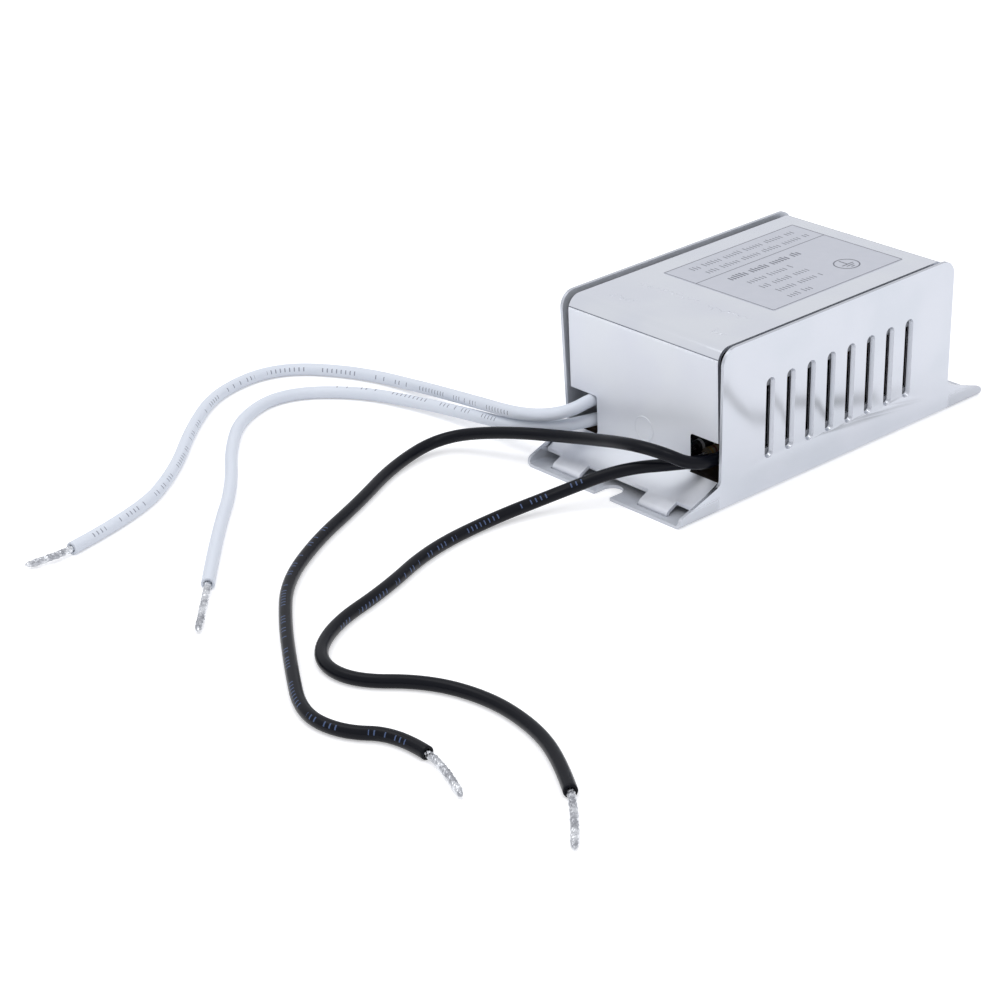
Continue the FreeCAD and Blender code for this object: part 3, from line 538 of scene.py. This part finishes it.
def brightPlatedSteel(name, look):
    # Low carbon sheet, cold rolled and then bright plated: a soft mirror. The eye sees faint rolling
    # lines along the strip, shallow waves that bend what it reflects, cloudy patches left by handling,
    # shinier folds and creases round the clinched feet
    material, tree, place = newMaterial(name)
    smooth = {"interpolation_type": "SMOOTHSTEP"}
    spot = addNode(tree, "VectorMath", [place, (mm, mm, mm)], operation="DIVIDE")
    x, y, z = addNode(tree, "SeparateXYZ", [spot]).outputs
    side = addNode(tree, "Math", [x], operation="ABSOLUTE")
    across = addNode(tree, "Math", [y], operation="ABSOLUTE")
    clouds = addNode(tree, "TexNoise", {"Vector": place, "Scale": wear["clouds"], "Detail": 2.5})
    tone = addNode(tree, "MapRange", [clouds, *wear["cloudy"]], **smooth)
    paint = addNode(tree, "MixRGB", [tone, toLinear(look["colour"]), toLinear(look["tint"])])

    # sheared slot edges, deeper than the floor of a vent: torn, and near-black with painted shade in the vent
    # recesses, with a burnished line.
    # depth = half width + lean times height - distance from the middle plane
    outer = addNode(tree, "Math", [z, look["lean"], look["halfWidth"]], operation="MULTIPLY_ADD")
    depth = addNode(tree, "Math", [outer, across], operation="SUBTRACT")
    wall = addNode(tree, "MapRange", [z, *wear["wall"]], **smooth)
    row = addNode(tree, "Math", [side, wear["ventEnds"]], operation="LESS_THAN")
    vented = addNode(tree, "Math", [wall, row], operation="MULTIPLY")
    first, last = (look["ventDepth"] + away for away in wear["sheared"])
    deep = addNode(tree, "MapRange", [depth, first, last], **smooth)
    tornAndShaded = addNode(tree, "Math", [deep, vented], operation="MULTIPLY")
    lineDepth, lineWidth = wear["burnished"]
    line = addNode(tree, "Math", [depth, look["ventDepth"] + lineDepth, lineWidth], operation="COMPARE")
    rest = addNode(tree, "Math", [line, -wear["burnishedShare"], 1.0], operation="MULTIPLY_ADD")
    tornAndShaded = addNode(tree, "Math", [tornAndShaded, rest], operation="MULTIPLY")
    # the near-black tone is painted shade in the vent recesses
    colour = addNode(tree, "MixRGB", [tornAndShaded, paint, toLinear(look["tornAndShaded"])])

    # the dies burnish the folds between the top and the ends, and scuff the upright ends
    (foldX, foldZ), (wideX, wideZ) = look["fold"], wear["foldWidth"]
    foldSide = addNode(tree, "MapRange", [side, foldX - wideX, foldX], **smooth)
    foldTop = addNode(tree, "MapRange", [z, foldZ - wideZ, foldZ], **smooth)
    fold = addNode(tree, "Math", [foldSide, foldTop], operation="MULTIPLY")
    normal = addNode(tree, "SeparateXYZ", [addNode(tree, "NewGeometry").outputs["Normal"]])
    facing = addNode(tree, "Math", [normal], operation="ABSOLUTE")
    upright = addNode(tree, "MapRange", [facing, *wear["upright"]], **smooth)
    unfolded = addNode(tree, "Math", [1.0, fold], operation="SUBTRACT")
    scuffed = addNode(tree, "Math", [upright, unfolded], operation="MULTIPLY")

    # scuffed zinc has a thin whitish bloom, which scatters instead of mirroring. The feet and the
    # inner faces of the channel were never polished and have more of it. Metallic = 1 - bloom
    innerStart = look["inner"] - wear["innerWidth"]
    innerDepth = addNode(tree, "MapRange", [depth, innerStart, look["inner"]], **smooth)
    inner = addNode(tree, "Math", [innerDepth, wall], operation="MULTIPLY")
    footSide = addNode(tree, "MapRange", [side, *wear["foot"]], **smooth)
    footLow = addNode(tree, "MapRange", [z, *wear["footTop"], 1.0, 0.0], **smooth)
    foot = addNode(tree, "Math", [footSide, footLow], operation="MULTIPLY")
    raw = addNode(tree, "Math", [inner, foot], operation="MAXIMUM")
    whole = addNode(tree, "Math", [1.0, tornAndShaded], operation="SUBTRACT")
    dull = addNode(tree, "Math", [raw, whole], operation="MULTIPLY")
    scuffBloom = addNode(tree, "Math", [scuffed, look["bloom"]], operation="MULTIPLY")
    dullBloom = addNode(tree, "Math", [dull, look["dullBloom"]], operation="MULTIPLY")
    bloom = addNode(tree, "Math", [scuffBloom, dullBloom], operation="MAXIMUM")
    metallic = addNode(tree, "Math", [1.0, bloom], operation="SUBTRACT")

    # roughness goes from the sheet's to the ends', varies with the clouds, and is the fold's on a fold
    worn = addNode(tree, "Math", [scuffed, dull], operation="MAXIMUM")
    rougher = look["endRoughness"] - look["roughness"]
    rough = addNode(tree, "Math", [worn, rougher, look["roughness"]], operation="MULTIPLY_ADD")
    swing = addNode(tree, "Math", [tone, 0.5], operation="SUBTRACT")
    rough = addNode(tree, "Math", [swing, wear["cloudGloss"], rough], operation="MULTIPLY_ADD")
    change = addNode(tree, "Math", [look["foldRoughness"], rough], operation="SUBTRACT")
    rough = addNode(tree, "Math", [fold, change, rough], operation="MULTIPLY_ADD")

    # long waves everywhere, creases of about 2 mm round the clinched tongues, and the rolling lines
    waves = addNode(tree, "TexNoise", {"Vector": place, "Scale": look["waves"], "Detail": 0.5})
    feetSide = addNode(tree, "MapRange", [side, *wear["clinched"]], **smooth)
    feetAcross = addNode(tree, "Math", [across, *wear["clinchedY"]], operation="COMPARE")
    feet = addNode(tree, "Math", [feetSide, feetAcross], operation="MULTIPLY")
    creases = addNode(tree, "TexNoise", {"Vector": place, "Scale": wear["creases"], "Detail": 1.0})
    creased = addNode(tree, "Math", [creases, feet], operation="MULTIPLY")
    strip = addNode(tree, "Mapping", {"Vector": place, "Scale": look["lines"]})
    rolling = addNode(tree, "TexNoise", {"Vector": strip, "Scale": 1.0, "Detail": 2.0})
    bump = addNode(tree, "Bump", {"Height": waves, "Strength": look["waveStrength"],
                                  "Distance": wear["waveHeight"]})
    bump = addNode(tree, "Bump", {"Height": creased, "Strength": wear["creaseStrength"],
                                  "Distance": wear["waveHeight"], "Normal": bump})
    bump = addNode(tree, "Bump", {"Height": rolling, "Strength": look["lineStrength"],
                                  "Distance": wear["lineHeight"], "Normal": bump})
    shader = addNode(tree, "BsdfPrincipled", {"Base Color": colour, "Metallic": metallic,
                                              "Roughness": rough, "Normal": bump})
    addNode(tree, "OutputMaterial", [shader])
    return material


def silverFilm(name):
    # metallised polyester label: satin, slightly darker than the sheet, with an orange-peel surface
    material, tree, place = newMaterial(name)
    peel = addNode(tree, "TexNoise", {"Vector": place, "Scale": 500.0, "Detail": 2.0})
    tone = addNode(tree, "MixRGB", [peel, toLinear("#D3D6DE"), toLinear("#DADCE4")])
    bump = addNode(tree, "Bump", {"Height": peel, "Strength": 0.2, "Distance": 0.00003})
    shader = addNode(tree, "BsdfPrincipled", {"Base Color": tone, "Metallic": 1.0,
                                              "Roughness": 0.36, "Normal": bump})
    addNode(tree, "OutputMaterial", [shader])
    return material


def screenInk(name):
    # screen printed ink: matt dark grey, thinner where the mesh left pinholes
    material, tree, place = newMaterial(name)
    pinholes = addNode(tree, "TexNoise", {"Vector": place, "Scale": 3500.0, "Detail": 2.0})
    tone = addNode(tree, "MixRGB", [pinholes, toLinear("#5A5D66"), toLinear("#8A8D97")])
    shader = addNode(tree, "BsdfPrincipled", {"Base Color": tone, "Roughness": 0.55, "IOR": 1.5})
    addNode(tree, "OutputMaterial", [shader])
    return material


pvc = {
    # mark sizes are in millimetres, but for markHeight, which is a share of a turn
    "white": {"colour": "#D3D9E3", "tint": "#D8DDE5", "roughness": 0.42, "specular": 0.4,
              "markColour": "#8A8E99", "markPitch": 1.1, "markWidth": 0.26, "markHeight": 0.11,
              "groupLength": 13.0},
    "black": {"colour": "#090B12", "tint": "#0D0F17", "roughness": 0.3, "specular": 0.13,
              "markColour": "#4C5B7C", "markPitch": 1.1, "markWidth": 0.28, "markHeight": 0.12,
              "groupLength": 12.0},
}


def extrudedPvc(name, look, marks, printed, length):
    # PVC extruded over the strands: smooth and slightly waxy, with faint flow lines along it and a row
    # of small plain printed strokes. The UV map holds the distance along in millimetres and the turn
    material, tree, place = newMaterial(name)
    route = addNode(tree, "SeparateXYZ", [addNode(tree, "TexCoord").outputs["UV"]])
    along, around = route.outputs[0], route.outputs[1]
    # the row wanders round the lead from its first to its last turn value, within half its height
    line = addNode(tree, "Math", [along, (marks[1] - marks[0]) / length, marks[0]], operation="MULTIPLY_ADD")
    offset = addNode(tree, "Math", [around, line], operation="SUBTRACT")
    offset = addNode(tree, "Math", [offset, 0.5], operation="ADD")
    offset = addNode(tree, "Math", [offset], operation="FRACT")
    offset = addNode(tree, "Math", [offset, 0.5], operation="SUBTRACT")
    offset = addNode(tree, "Math", [offset], operation="ABSOLUTE")
    row = addNode(tree, "Math", [offset, look["markHeight"] / 2], operation="LESS_THAN")
    # one stroke stands in the middle of each cell, and here and there one is missing
    cell = addNode(tree, "Math", [along, look["markPitch"]], operation="DIVIDE")
    within = addNode(tree, "Math", [cell], operation="FRACT")
    halfStroke = look["markWidth"] / look["markPitch"] / 2
    stroke = addNode(tree, "Math", [within, 0.5, halfStroke], operation="COMPARE")
    count = addNode(tree, "Math", [cell], operation="FLOOR")
    chance = addNode(tree, "TexWhiteNoise", {"W": count}, noise_dimensions="1D")
    present = addNode(tree, "Math", [chance, 0.15], operation="GREATER_THAN")
    # a group of strokes is followed by a gap, and only the printed stretch has any
    group = addNode(tree, "Math", [along, look["groupLength"]], operation="DIVIDE")
    group = addNode(tree, "Math", [group], operation="FRACT")
    group = addNode(tree, "Math", [group, 0.74], operation="LESS_THAN")
    middle, half = (printed[0] + printed[1]) / 2, (printed[1] - printed[0]) / 2
    stretch = addNode(tree, "Math", [along, middle, half], operation="COMPARE")
    mask = row
    for share in (stroke, present, group, stretch):
        mask = addNode(tree, "Math", [mask, share], operation="MULTIPLY")
    mottle = addNode(tree, "TexNoise", {"Vector": place, "Scale": 120.0, "Detail": 2.0})
    body = addNode(tree, "MixRGB", [mottle, toLinear(look["colour"]), toLinear(look["tint"])])
    paint = addNode(tree, "MixRGB", [mask, body, toLinear(look["markColour"])])
    # flow lines a few millimetres long and a tenth as wide, then the skin's fine grain
    flowAlong = addNode(tree, "Math", [along, 0.15], operation="MULTIPLY")
    flowAround = addNode(tree, "Math", [around, 26.0], operation="MULTIPLY")
    flow = addNode(tree, "CombineXYZ", [flowAlong, flowAround])
    lines = addNode(tree, "TexNoise", {"Vector": flow, "Scale": 1.0, "Detail": 2.0})
    grain = addNode(tree, "TexNoise", {"Vector": place, "Scale": 2500.0, "Detail": 2.0})
    bump = addNode(tree, "Bump", {"Height": lines, "Strength": 0.4, "Distance": 0.00003})
    bump = addNode(tree, "Bump", {"Height": grain, "Strength": 0.3, "Distance": 0.00001, "Normal": bump})
    shader = addNode(tree, "BsdfPrincipled", {"Base Color": paint, "Roughness": look["roughness"],
                                              "IOR": 1.53, "Specular IOR Level": look["specular"],
                                              "Normal": bump})
    addNode(tree, "OutputMaterial", [shader])
    return material


def solderedStrands(name, colour, shade):
    # stranded copper dipped in tin solder: bright, lumpy, grey in the grooves between strands
    material, tree, place = newMaterial(name)
    lumps = addNode(tree, "TexNoise", {"Vector": place, "Scale": 1500.0, "Detail": 3.0})
    stain = addNode(tree, "TexNoise", {"Vector": place, "Scale": 420.0, "Detail": 3.0})
    tone = addNode(tree, "ValToRGB", [stain], [(0.38, shade), (0.6, colour)])
    rough = addNode(tree, "MapRange", {"Value": lumps, "To Min": 0.16, "To Max": 0.42})
    bump = addNode(tree, "Bump", {"Height": lumps, "Strength": 0.8, "Distance": 0.00025})
    shader = addNode(tree, "BsdfPrincipled", {"Base Color": tone, "Metallic": 1.0,
                                              "Roughness": rough, "Normal": bump})
    addNode(tree, "OutputMaterial", [shader])
    return material


def mottledFinish(name, colour, tint, roughness, size, height=0.00003, metallic=0.0, stretch=(1, 1, 1)):
    # moulded, pressed or cast surfaces inside the case: two near tones in a pattern of the real
    # grain size in millimetres, which also lifts the surface and changes its gloss a little
    material, tree, place = newMaterial(name)
    scale = tuple(axis / (size * mm) for axis in stretch)
    scaled = addNode(tree, "Mapping", {"Vector": place, "Scale": scale})
    grain = addNode(tree, "TexNoise", {"Vector": scaled, "Scale": 1.0, "Detail": 4.0, "Roughness": 0.6})
    tone = addNode(tree, "ValToRGB", [grain], [(0.35, colour), (0.65, tint)])
    glossRange = (roughness - 0.08, roughness + 0.08)
    rough = addNode(tree, "MapRange", [grain, 0.0, 1.0, *glossRange])
    bump = addNode(tree, "Bump", {"Height": grain, "Strength": 1.0, "Distance": height})
    shader = addNode(tree, "BsdfPrincipled", {"Base Color": tone, "Metallic": metallic,
                                              "Roughness": rough, "Normal": bump})
    addNode(tree, "OutputMaterial", [shader])
    return material


def woundFinish(name, colour, shadedGroove, pitch, roughness, metallic, axis):
    # a layer of wire or tape: bands across the winding's axis, one for each turn, with painted shade between
    # turns.
    # A wave texture repeats every 0.314 over its scale, in metres
    material, tree, place = newMaterial(name)
    wave = addNode(tree, "TexWave", {"Vector": place, "Scale": 0.314 / (pitch * mm), "Distortion": 0.4},
                   bands_direction=axis)
    turns = wave.outputs["Fac"]
    # the groove colour is painted shade between the turns
    tone = addNode(tree, "ValToRGB", [turns], [(0.12, shadedGroove), (0.55, colour)])
    bump = addNode(tree, "Bump", {"Height": turns, "Strength": 1.0, "Distance": pitch * mm * 0.4})
    shader = addNode(tree, "BsdfPrincipled", {"Base Color": tone, "Metallic": metallic,
                                              "Roughness": roughness, "Normal": bump})
    addNode(tree, "OutputMaterial", [shader])
    return material


def bandedFinish(name, body, bands, centres, roughness):
    # a moulded body with rings round it: the distance along X from the nearest body's middle, as a
    # share of 4 mm, picks the ring
    material, tree, place = newMaterial(name)
    x = addNode(tree, "SeparateXYZ", [place])
    nearest = 1.0
    for centre in centres:
        away = addNode(tree, "Math", [x, centre * mm], operation="SUBTRACT")
        away = addNode(tree, "Math", [away], operation="ABSOLUTE")
        nearest = addNode(tree, "Math", [nearest, away], operation="MINIMUM")
    share = addNode(tree, "Math", [nearest, 4.0 * mm], operation="DIVIDE")
    rings = addNode(tree, "ValToRGB", [share], bands)
    rings.color_ramp.interpolation = "CONSTANT"
    speck = addNode(tree, "TexNoise", {"Vector": place, "Scale": 2200.0, "Detail": 2.0})
    worn = addNode(tree, "MapRange", {"Value": speck, "From Min": 0.62, "From Max": 0.72, "To Max": 0.5})
    tone = addNode(tree, "MixRGB", [worn, rings, toLinear(body)])
    bump = addNode(tree, "Bump", {"Height": speck, "Strength": 0.4, "Distance": 0.00002})
    shader = addNode(tree, "BsdfPrincipled", {"Base Color": tone, "Roughness": roughness,
                                              "IOR": 1.5, "Normal": bump})
    addNode(tree, "OutputMaterial", [shader])
    return material


def middleX(name):
    low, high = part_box(name)
    return (low[0] + high[0]) / 2 / mm


sheetFinish = brightPlatedSteel("brightPlatedSteelCover", sheets["cover"])
channelFinish = brightPlatedSteel("brightPlatedSteelBase", sheets["base"])
tinned = solderedStrands("tinnedStrands", "#E6E8EB", "#A9ABB0")
solder = solderedStrands("leadFreeSolder", "#C4C6C8", "#8B8C8E")
finishes = {
    # dark fibre card, and the brown laminate that stands in it, its brown darkened with painted shade for the
    # inside of the case
    "insulating_liner": mottledFinish("pressedFishPaper", "#131316", "#2C2A2B", 0.75, 0.9),
    "circuit_board": mottledFinish("phenolicBoardWithPaintedShade", "#2A2118", "#382C1E", 0.5, 1.6),
    "solder_joints": solder,
    "ferrite_core": mottledFinish("sinteredFerrite", "#1C1D1F", "#2E2F32", 0.5, 0.5),
    "bobbin": mottledFinish("mouldedPhenolic", "#0F0F10", "#1A1A1B", 0.42, 0.8),
    # the second colour of each winding is painted shade between its turns
    "primary_winding": woundFinish("enamelledCopper", "#9C4A1E", "#3A1608", 0.45, 0.28, 0.9, "X"),
    "secondary_winding": woundFinish("polyesterTape", "#B99A2E", "#8C6E18", 5.0, 0.25, 0.0, "X"),
    "ring_core": mottledFinish("coatedRing", "#2E5A3C", "#3B6C49", 0.4, 0.6),
    "ring_windings": mottledFinish("pvcHookUpWire", "#6E6C66", "#7E7B73", 0.45, 0.7),
    # rolled plate: its pattern is drawn out along X
    "heat_sink": mottledFinish("millAluminium", "#B9BBBE", "#CACCCF", 0.34, 0.25, 0.00001, 1.0, (0.03, 1, 1)),
    "thermal_pads": mottledFinish("siliconePad", "#8C8784", "#A29C98", 0.7, 0.5),
    "transistor_cases": mottledFinish("mouldedEpoxy", "#121213", "#1D1D1F", 0.5, 0.35),
    "transistor_tabs": solder,
    "transistor_legs": tinned,
    "sink_screws": mottledFinish("zincPlatedScrew", "#B4B7BC", "#D0D3D8", 0.3, 0.6, 0.00001, 1.0),
    "film_capacitors": mottledFinish("dippedEpoxy", "#5A2417", "#6E2E1D", 0.25, 1.2),
    "filter_capacitor": mottledFinish("paleBoxPlastic", "#A39C78", "#B3AC88", 0.4, 0.6),
    "start_capacitor": mottledFinish("greyBoxPlastic", "#6E7476", "#7C8284", 0.4, 0.6),
    "choke_core": mottledFinish("ferriteDrum", "#222326", "#34353A", 0.55, 0.5),
    # the darker colour is painted shade between the turns
    "choke_winding": woundFinish("chokeCopper", "#A0521F", "#431A09", 0.5, 0.3, 0.9, "Z"),
    "component_wires": tinned,
    "inner_wire_ends": tinned,
}
# the three lying resistors: one at the low end of their row, two at its high end
resistorHalf, resistorPitch = 3.15, 13.0
lowEnd, highEnd = (corner[0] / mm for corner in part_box("resistors"))
resistorMiddles = [lowEnd + resistorHalf, highEnd - resistorHalf, highEnd - resistorHalf - resistorPitch]
diodeRings = [(0.0, "#101012"), (0.3, "#C9CACC"), (0.48, "#101012")]
# real band colours, darkened and dulled with painted shade for the inside of the case
resistorRingsWithPaintedShade = [(0.0, "#6A3A20"), (0.1, "#7C7058"), (0.28, "#6A2A1E"), (0.4, "#7C7058"),
                 (0.56, "#8A6A2A"), (0.68, "#7C7058")]
diacRings = [(0.0, "#2C4A7A"), (0.25, "#11151C"), (0.36, "#2C4A7A")]
fuseCaps = [(0.0, "#D6CFBE"), (0.56, "#A9ABAE")]
diodeMiddles = [middleX("rectifier_diodes")]
finishes["rectifier_diodes"] = bandedFinish("diodeEpoxy", "#101012", diodeRings, diodeMiddles, 0.45)
finishes["resistors"] = bandedFinish("colourBandedLacquer", "#7C7058", resistorRingsWithPaintedShade, resistorMiddles, 0.35)
finishes["diac"] = bandedFinish("blueGlassLacquer", "#2C4A7A", diacRings, [middleX("diac")], 0.2)
finishes["fuse"] = bandedFinish("ceramicFuse", "#CFC8B6", fuseCaps, [middleX("fuse")], 0.35)
for name, finish in finishes.items():
    dress(nodes[name], finish)
dress(casePieces["base_channel"], channelFinish)
dress(casePieces["cover"], sheetFinish)
dress(labelFilm, silverFilm("metallisedPolyester"))
dress(labelPrint, screenInk("screenPrintedInk"))
dress(stampedMarks, sheetFinish)
dress(stampedRing, sheetFinish)
for name, (piece, tip) in leadPieces.items():
    values = leads[name]
    look = pvc[values["colour"]]
    dress(piece, extrudedPvc(name + "_pvc", look, values["marks"], values["printed"], values["length"]))
    dress(tip, tinned)
print("materials made")


studio = {
    "floorRadius": 3.0, "floorSides": 96, "floorColour": "#F0F0F1", "lift": 0.36,
    "wallHeight": 0.3, "wallColour": "#8B8E96",
    "sky": "#F6F7FB", "skyStrength": 0.89,
    # painted shadow: a soft grey arc on the floor that only mirror rays see, so the metal shows a painted
    # reflection of shade. Its centre, radius and half width in metres, where along X it fades out, and its
    # strength
    "paintedShadowArc": {"centre": (0.0372, -0.0676, 0), "radius": 0.0338, "halfWidth": 0.0045,
            "fade": (0.02, 0.036), "dark": 0.55},
    "lamps": [
        {"name": "key", "place": (-0.25, -0.35, 0.95), "aim": (-0.05, 0, 0), "size": 0.3, "power": 1.2},
        {"name": "fill", "place": (0.5, -0.9, 0.9), "aim": (-0.05, 0, 0), "size": 0.9, "power": 0.4},
        {"name": "side", "place": (-0.15, 0.12, 0.36), "aim": (-0.06, 0.03, 0), "size": 0.25, "power": 0.28},
    ],
}


def floorMaterial():
    # white card that takes the object's shadow. Camera, mirror and glass rays also see a faint glow, and
    # mirror rays a painted shadow, a grey arc that paints a reflection of shade onto the metal: its tone
    # falls to nothing at half its width from its line
    material, tree, place = newMaterial("studioFloor")
    light = addNode(tree, "LightPath")
    card = addNode(tree, "BsdfDiffuse", [toLinear(studio["floorColour"])])
    mirror = light.outputs["Is Glossy Ray"]
    seen = addNode(tree, "Math", [light.outputs["Is Camera Ray"], mirror], operation="MAXIMUM")
    seen = addNode(tree, "Math", [seen, light.outputs["Is Transmission Ray"]], operation="MAXIMUM")
    lift = addNode(tree, "Math", [seen, studio["lift"]], operation="MULTIPLY")
    glow = addNode(tree, "Emission", {"Color": (1, 1, 1, 1), "Strength": lift})
    lit = addNode(tree, "AddShader", [card, glow])
    # painted shadow that only mirror rays see, for a painted reflection on the metal
    paintedShadowArc = studio["paintedShadowArc"]
    away = addNode(tree, "VectorMath", [place, paintedShadowArc["centre"]], operation="DISTANCE").outputs["Value"]
    away = addNode(tree, "Math", [away, paintedShadowArc["radius"]], operation="SUBTRACT")
    away = addNode(tree, "Math", [away], operation="ABSOLUTE")
    band = addNode(tree, "MapRange", [away, 0.0, paintedShadowArc["halfWidth"], 1.0, 0.0], interpolation_type="SMOOTHSTEP")
    x = addNode(tree, "SeparateXYZ", [place])
    faded = addNode(tree, "MapRange", [x, *paintedShadowArc["fade"], paintedShadowArc["dark"], 0.0])
    share = addNode(tree, "Math", [band, faded], operation="MULTIPLY")
    share = addNode(tree, "Math", [share, mirror], operation="MULTIPLY")
    grey = addNode(tree, "Emission", {"Color": (1, 1, 1, 1), "Strength": 0.0})
    addNode(tree, "OutputMaterial", [addNode(tree, "MixShader", [share, lit, grey])])
    return material


def wallMaterial():
    # matt grey card
    material, tree, _ = newMaterial("studioWall")
    shader = addNode(tree, "BsdfPrincipled", {"Base Color": toLinear(studio["wallColour"]), "Roughness": 0.9})
    addNode(tree, "OutputMaterial", [shader])
    return material


def makeStudio():
    count = studio["floorSides"]
    angle = np.linspace(0, 2 * math.pi, count, endpoint=False)
    circle = np.stack([np.cos(angle), np.sin(angle), np.zeros(count)], axis=1) * studio["floorRadius"]
    mesh = bpy.data.meshes.new("floor")
    mesh.from_pydata(circle.tolist(), [], [list(range(count))])
    floor = addPiece("floor", mesh)
    # a low wall round the floor: the metal shows it as a thin darker line where floor and sky meet
    rim = np.stack([circle + [0, 0, studio["wallHeight"]], circle], axis=0)
    wall = addPiece("wall", gridMesh("wall", rim))
    dress(floor, floorMaterial())
    dress(wall, wallMaterial())

    world = bpy.data.worlds.new("studio")
    bpy.context.scene.world = world
    world.use_nodes = True
    tree = world.node_tree
    tree.nodes.clear()
    sky = addNode(tree, "Background", [toLinear(studio["sky"]), studio["skyStrength"]])
    addNode(tree, "OutputWorld", [sky])

    for lamp in studio["lamps"]:
        data = bpy.data.lights.new(lamp["name"], "AREA")
        data.shape = "DISK"
        data.size = lamp["size"]
        data.energy = lamp["power"]
        place = Vector(lamp["place"])
        turned = (Vector(lamp["aim"]) - place).to_track_quat("-Z", "Y").to_matrix().to_4x4()
        light = bpy.data.objects.new(lamp["name"], data)
        light.matrix_world = Matrix.Translation(place) @ turned
        bpy.context.collection.objects.link(light)


makeStudio()
bpy.context.scene.view_settings.view_transform = "Standard"
print("studio made")
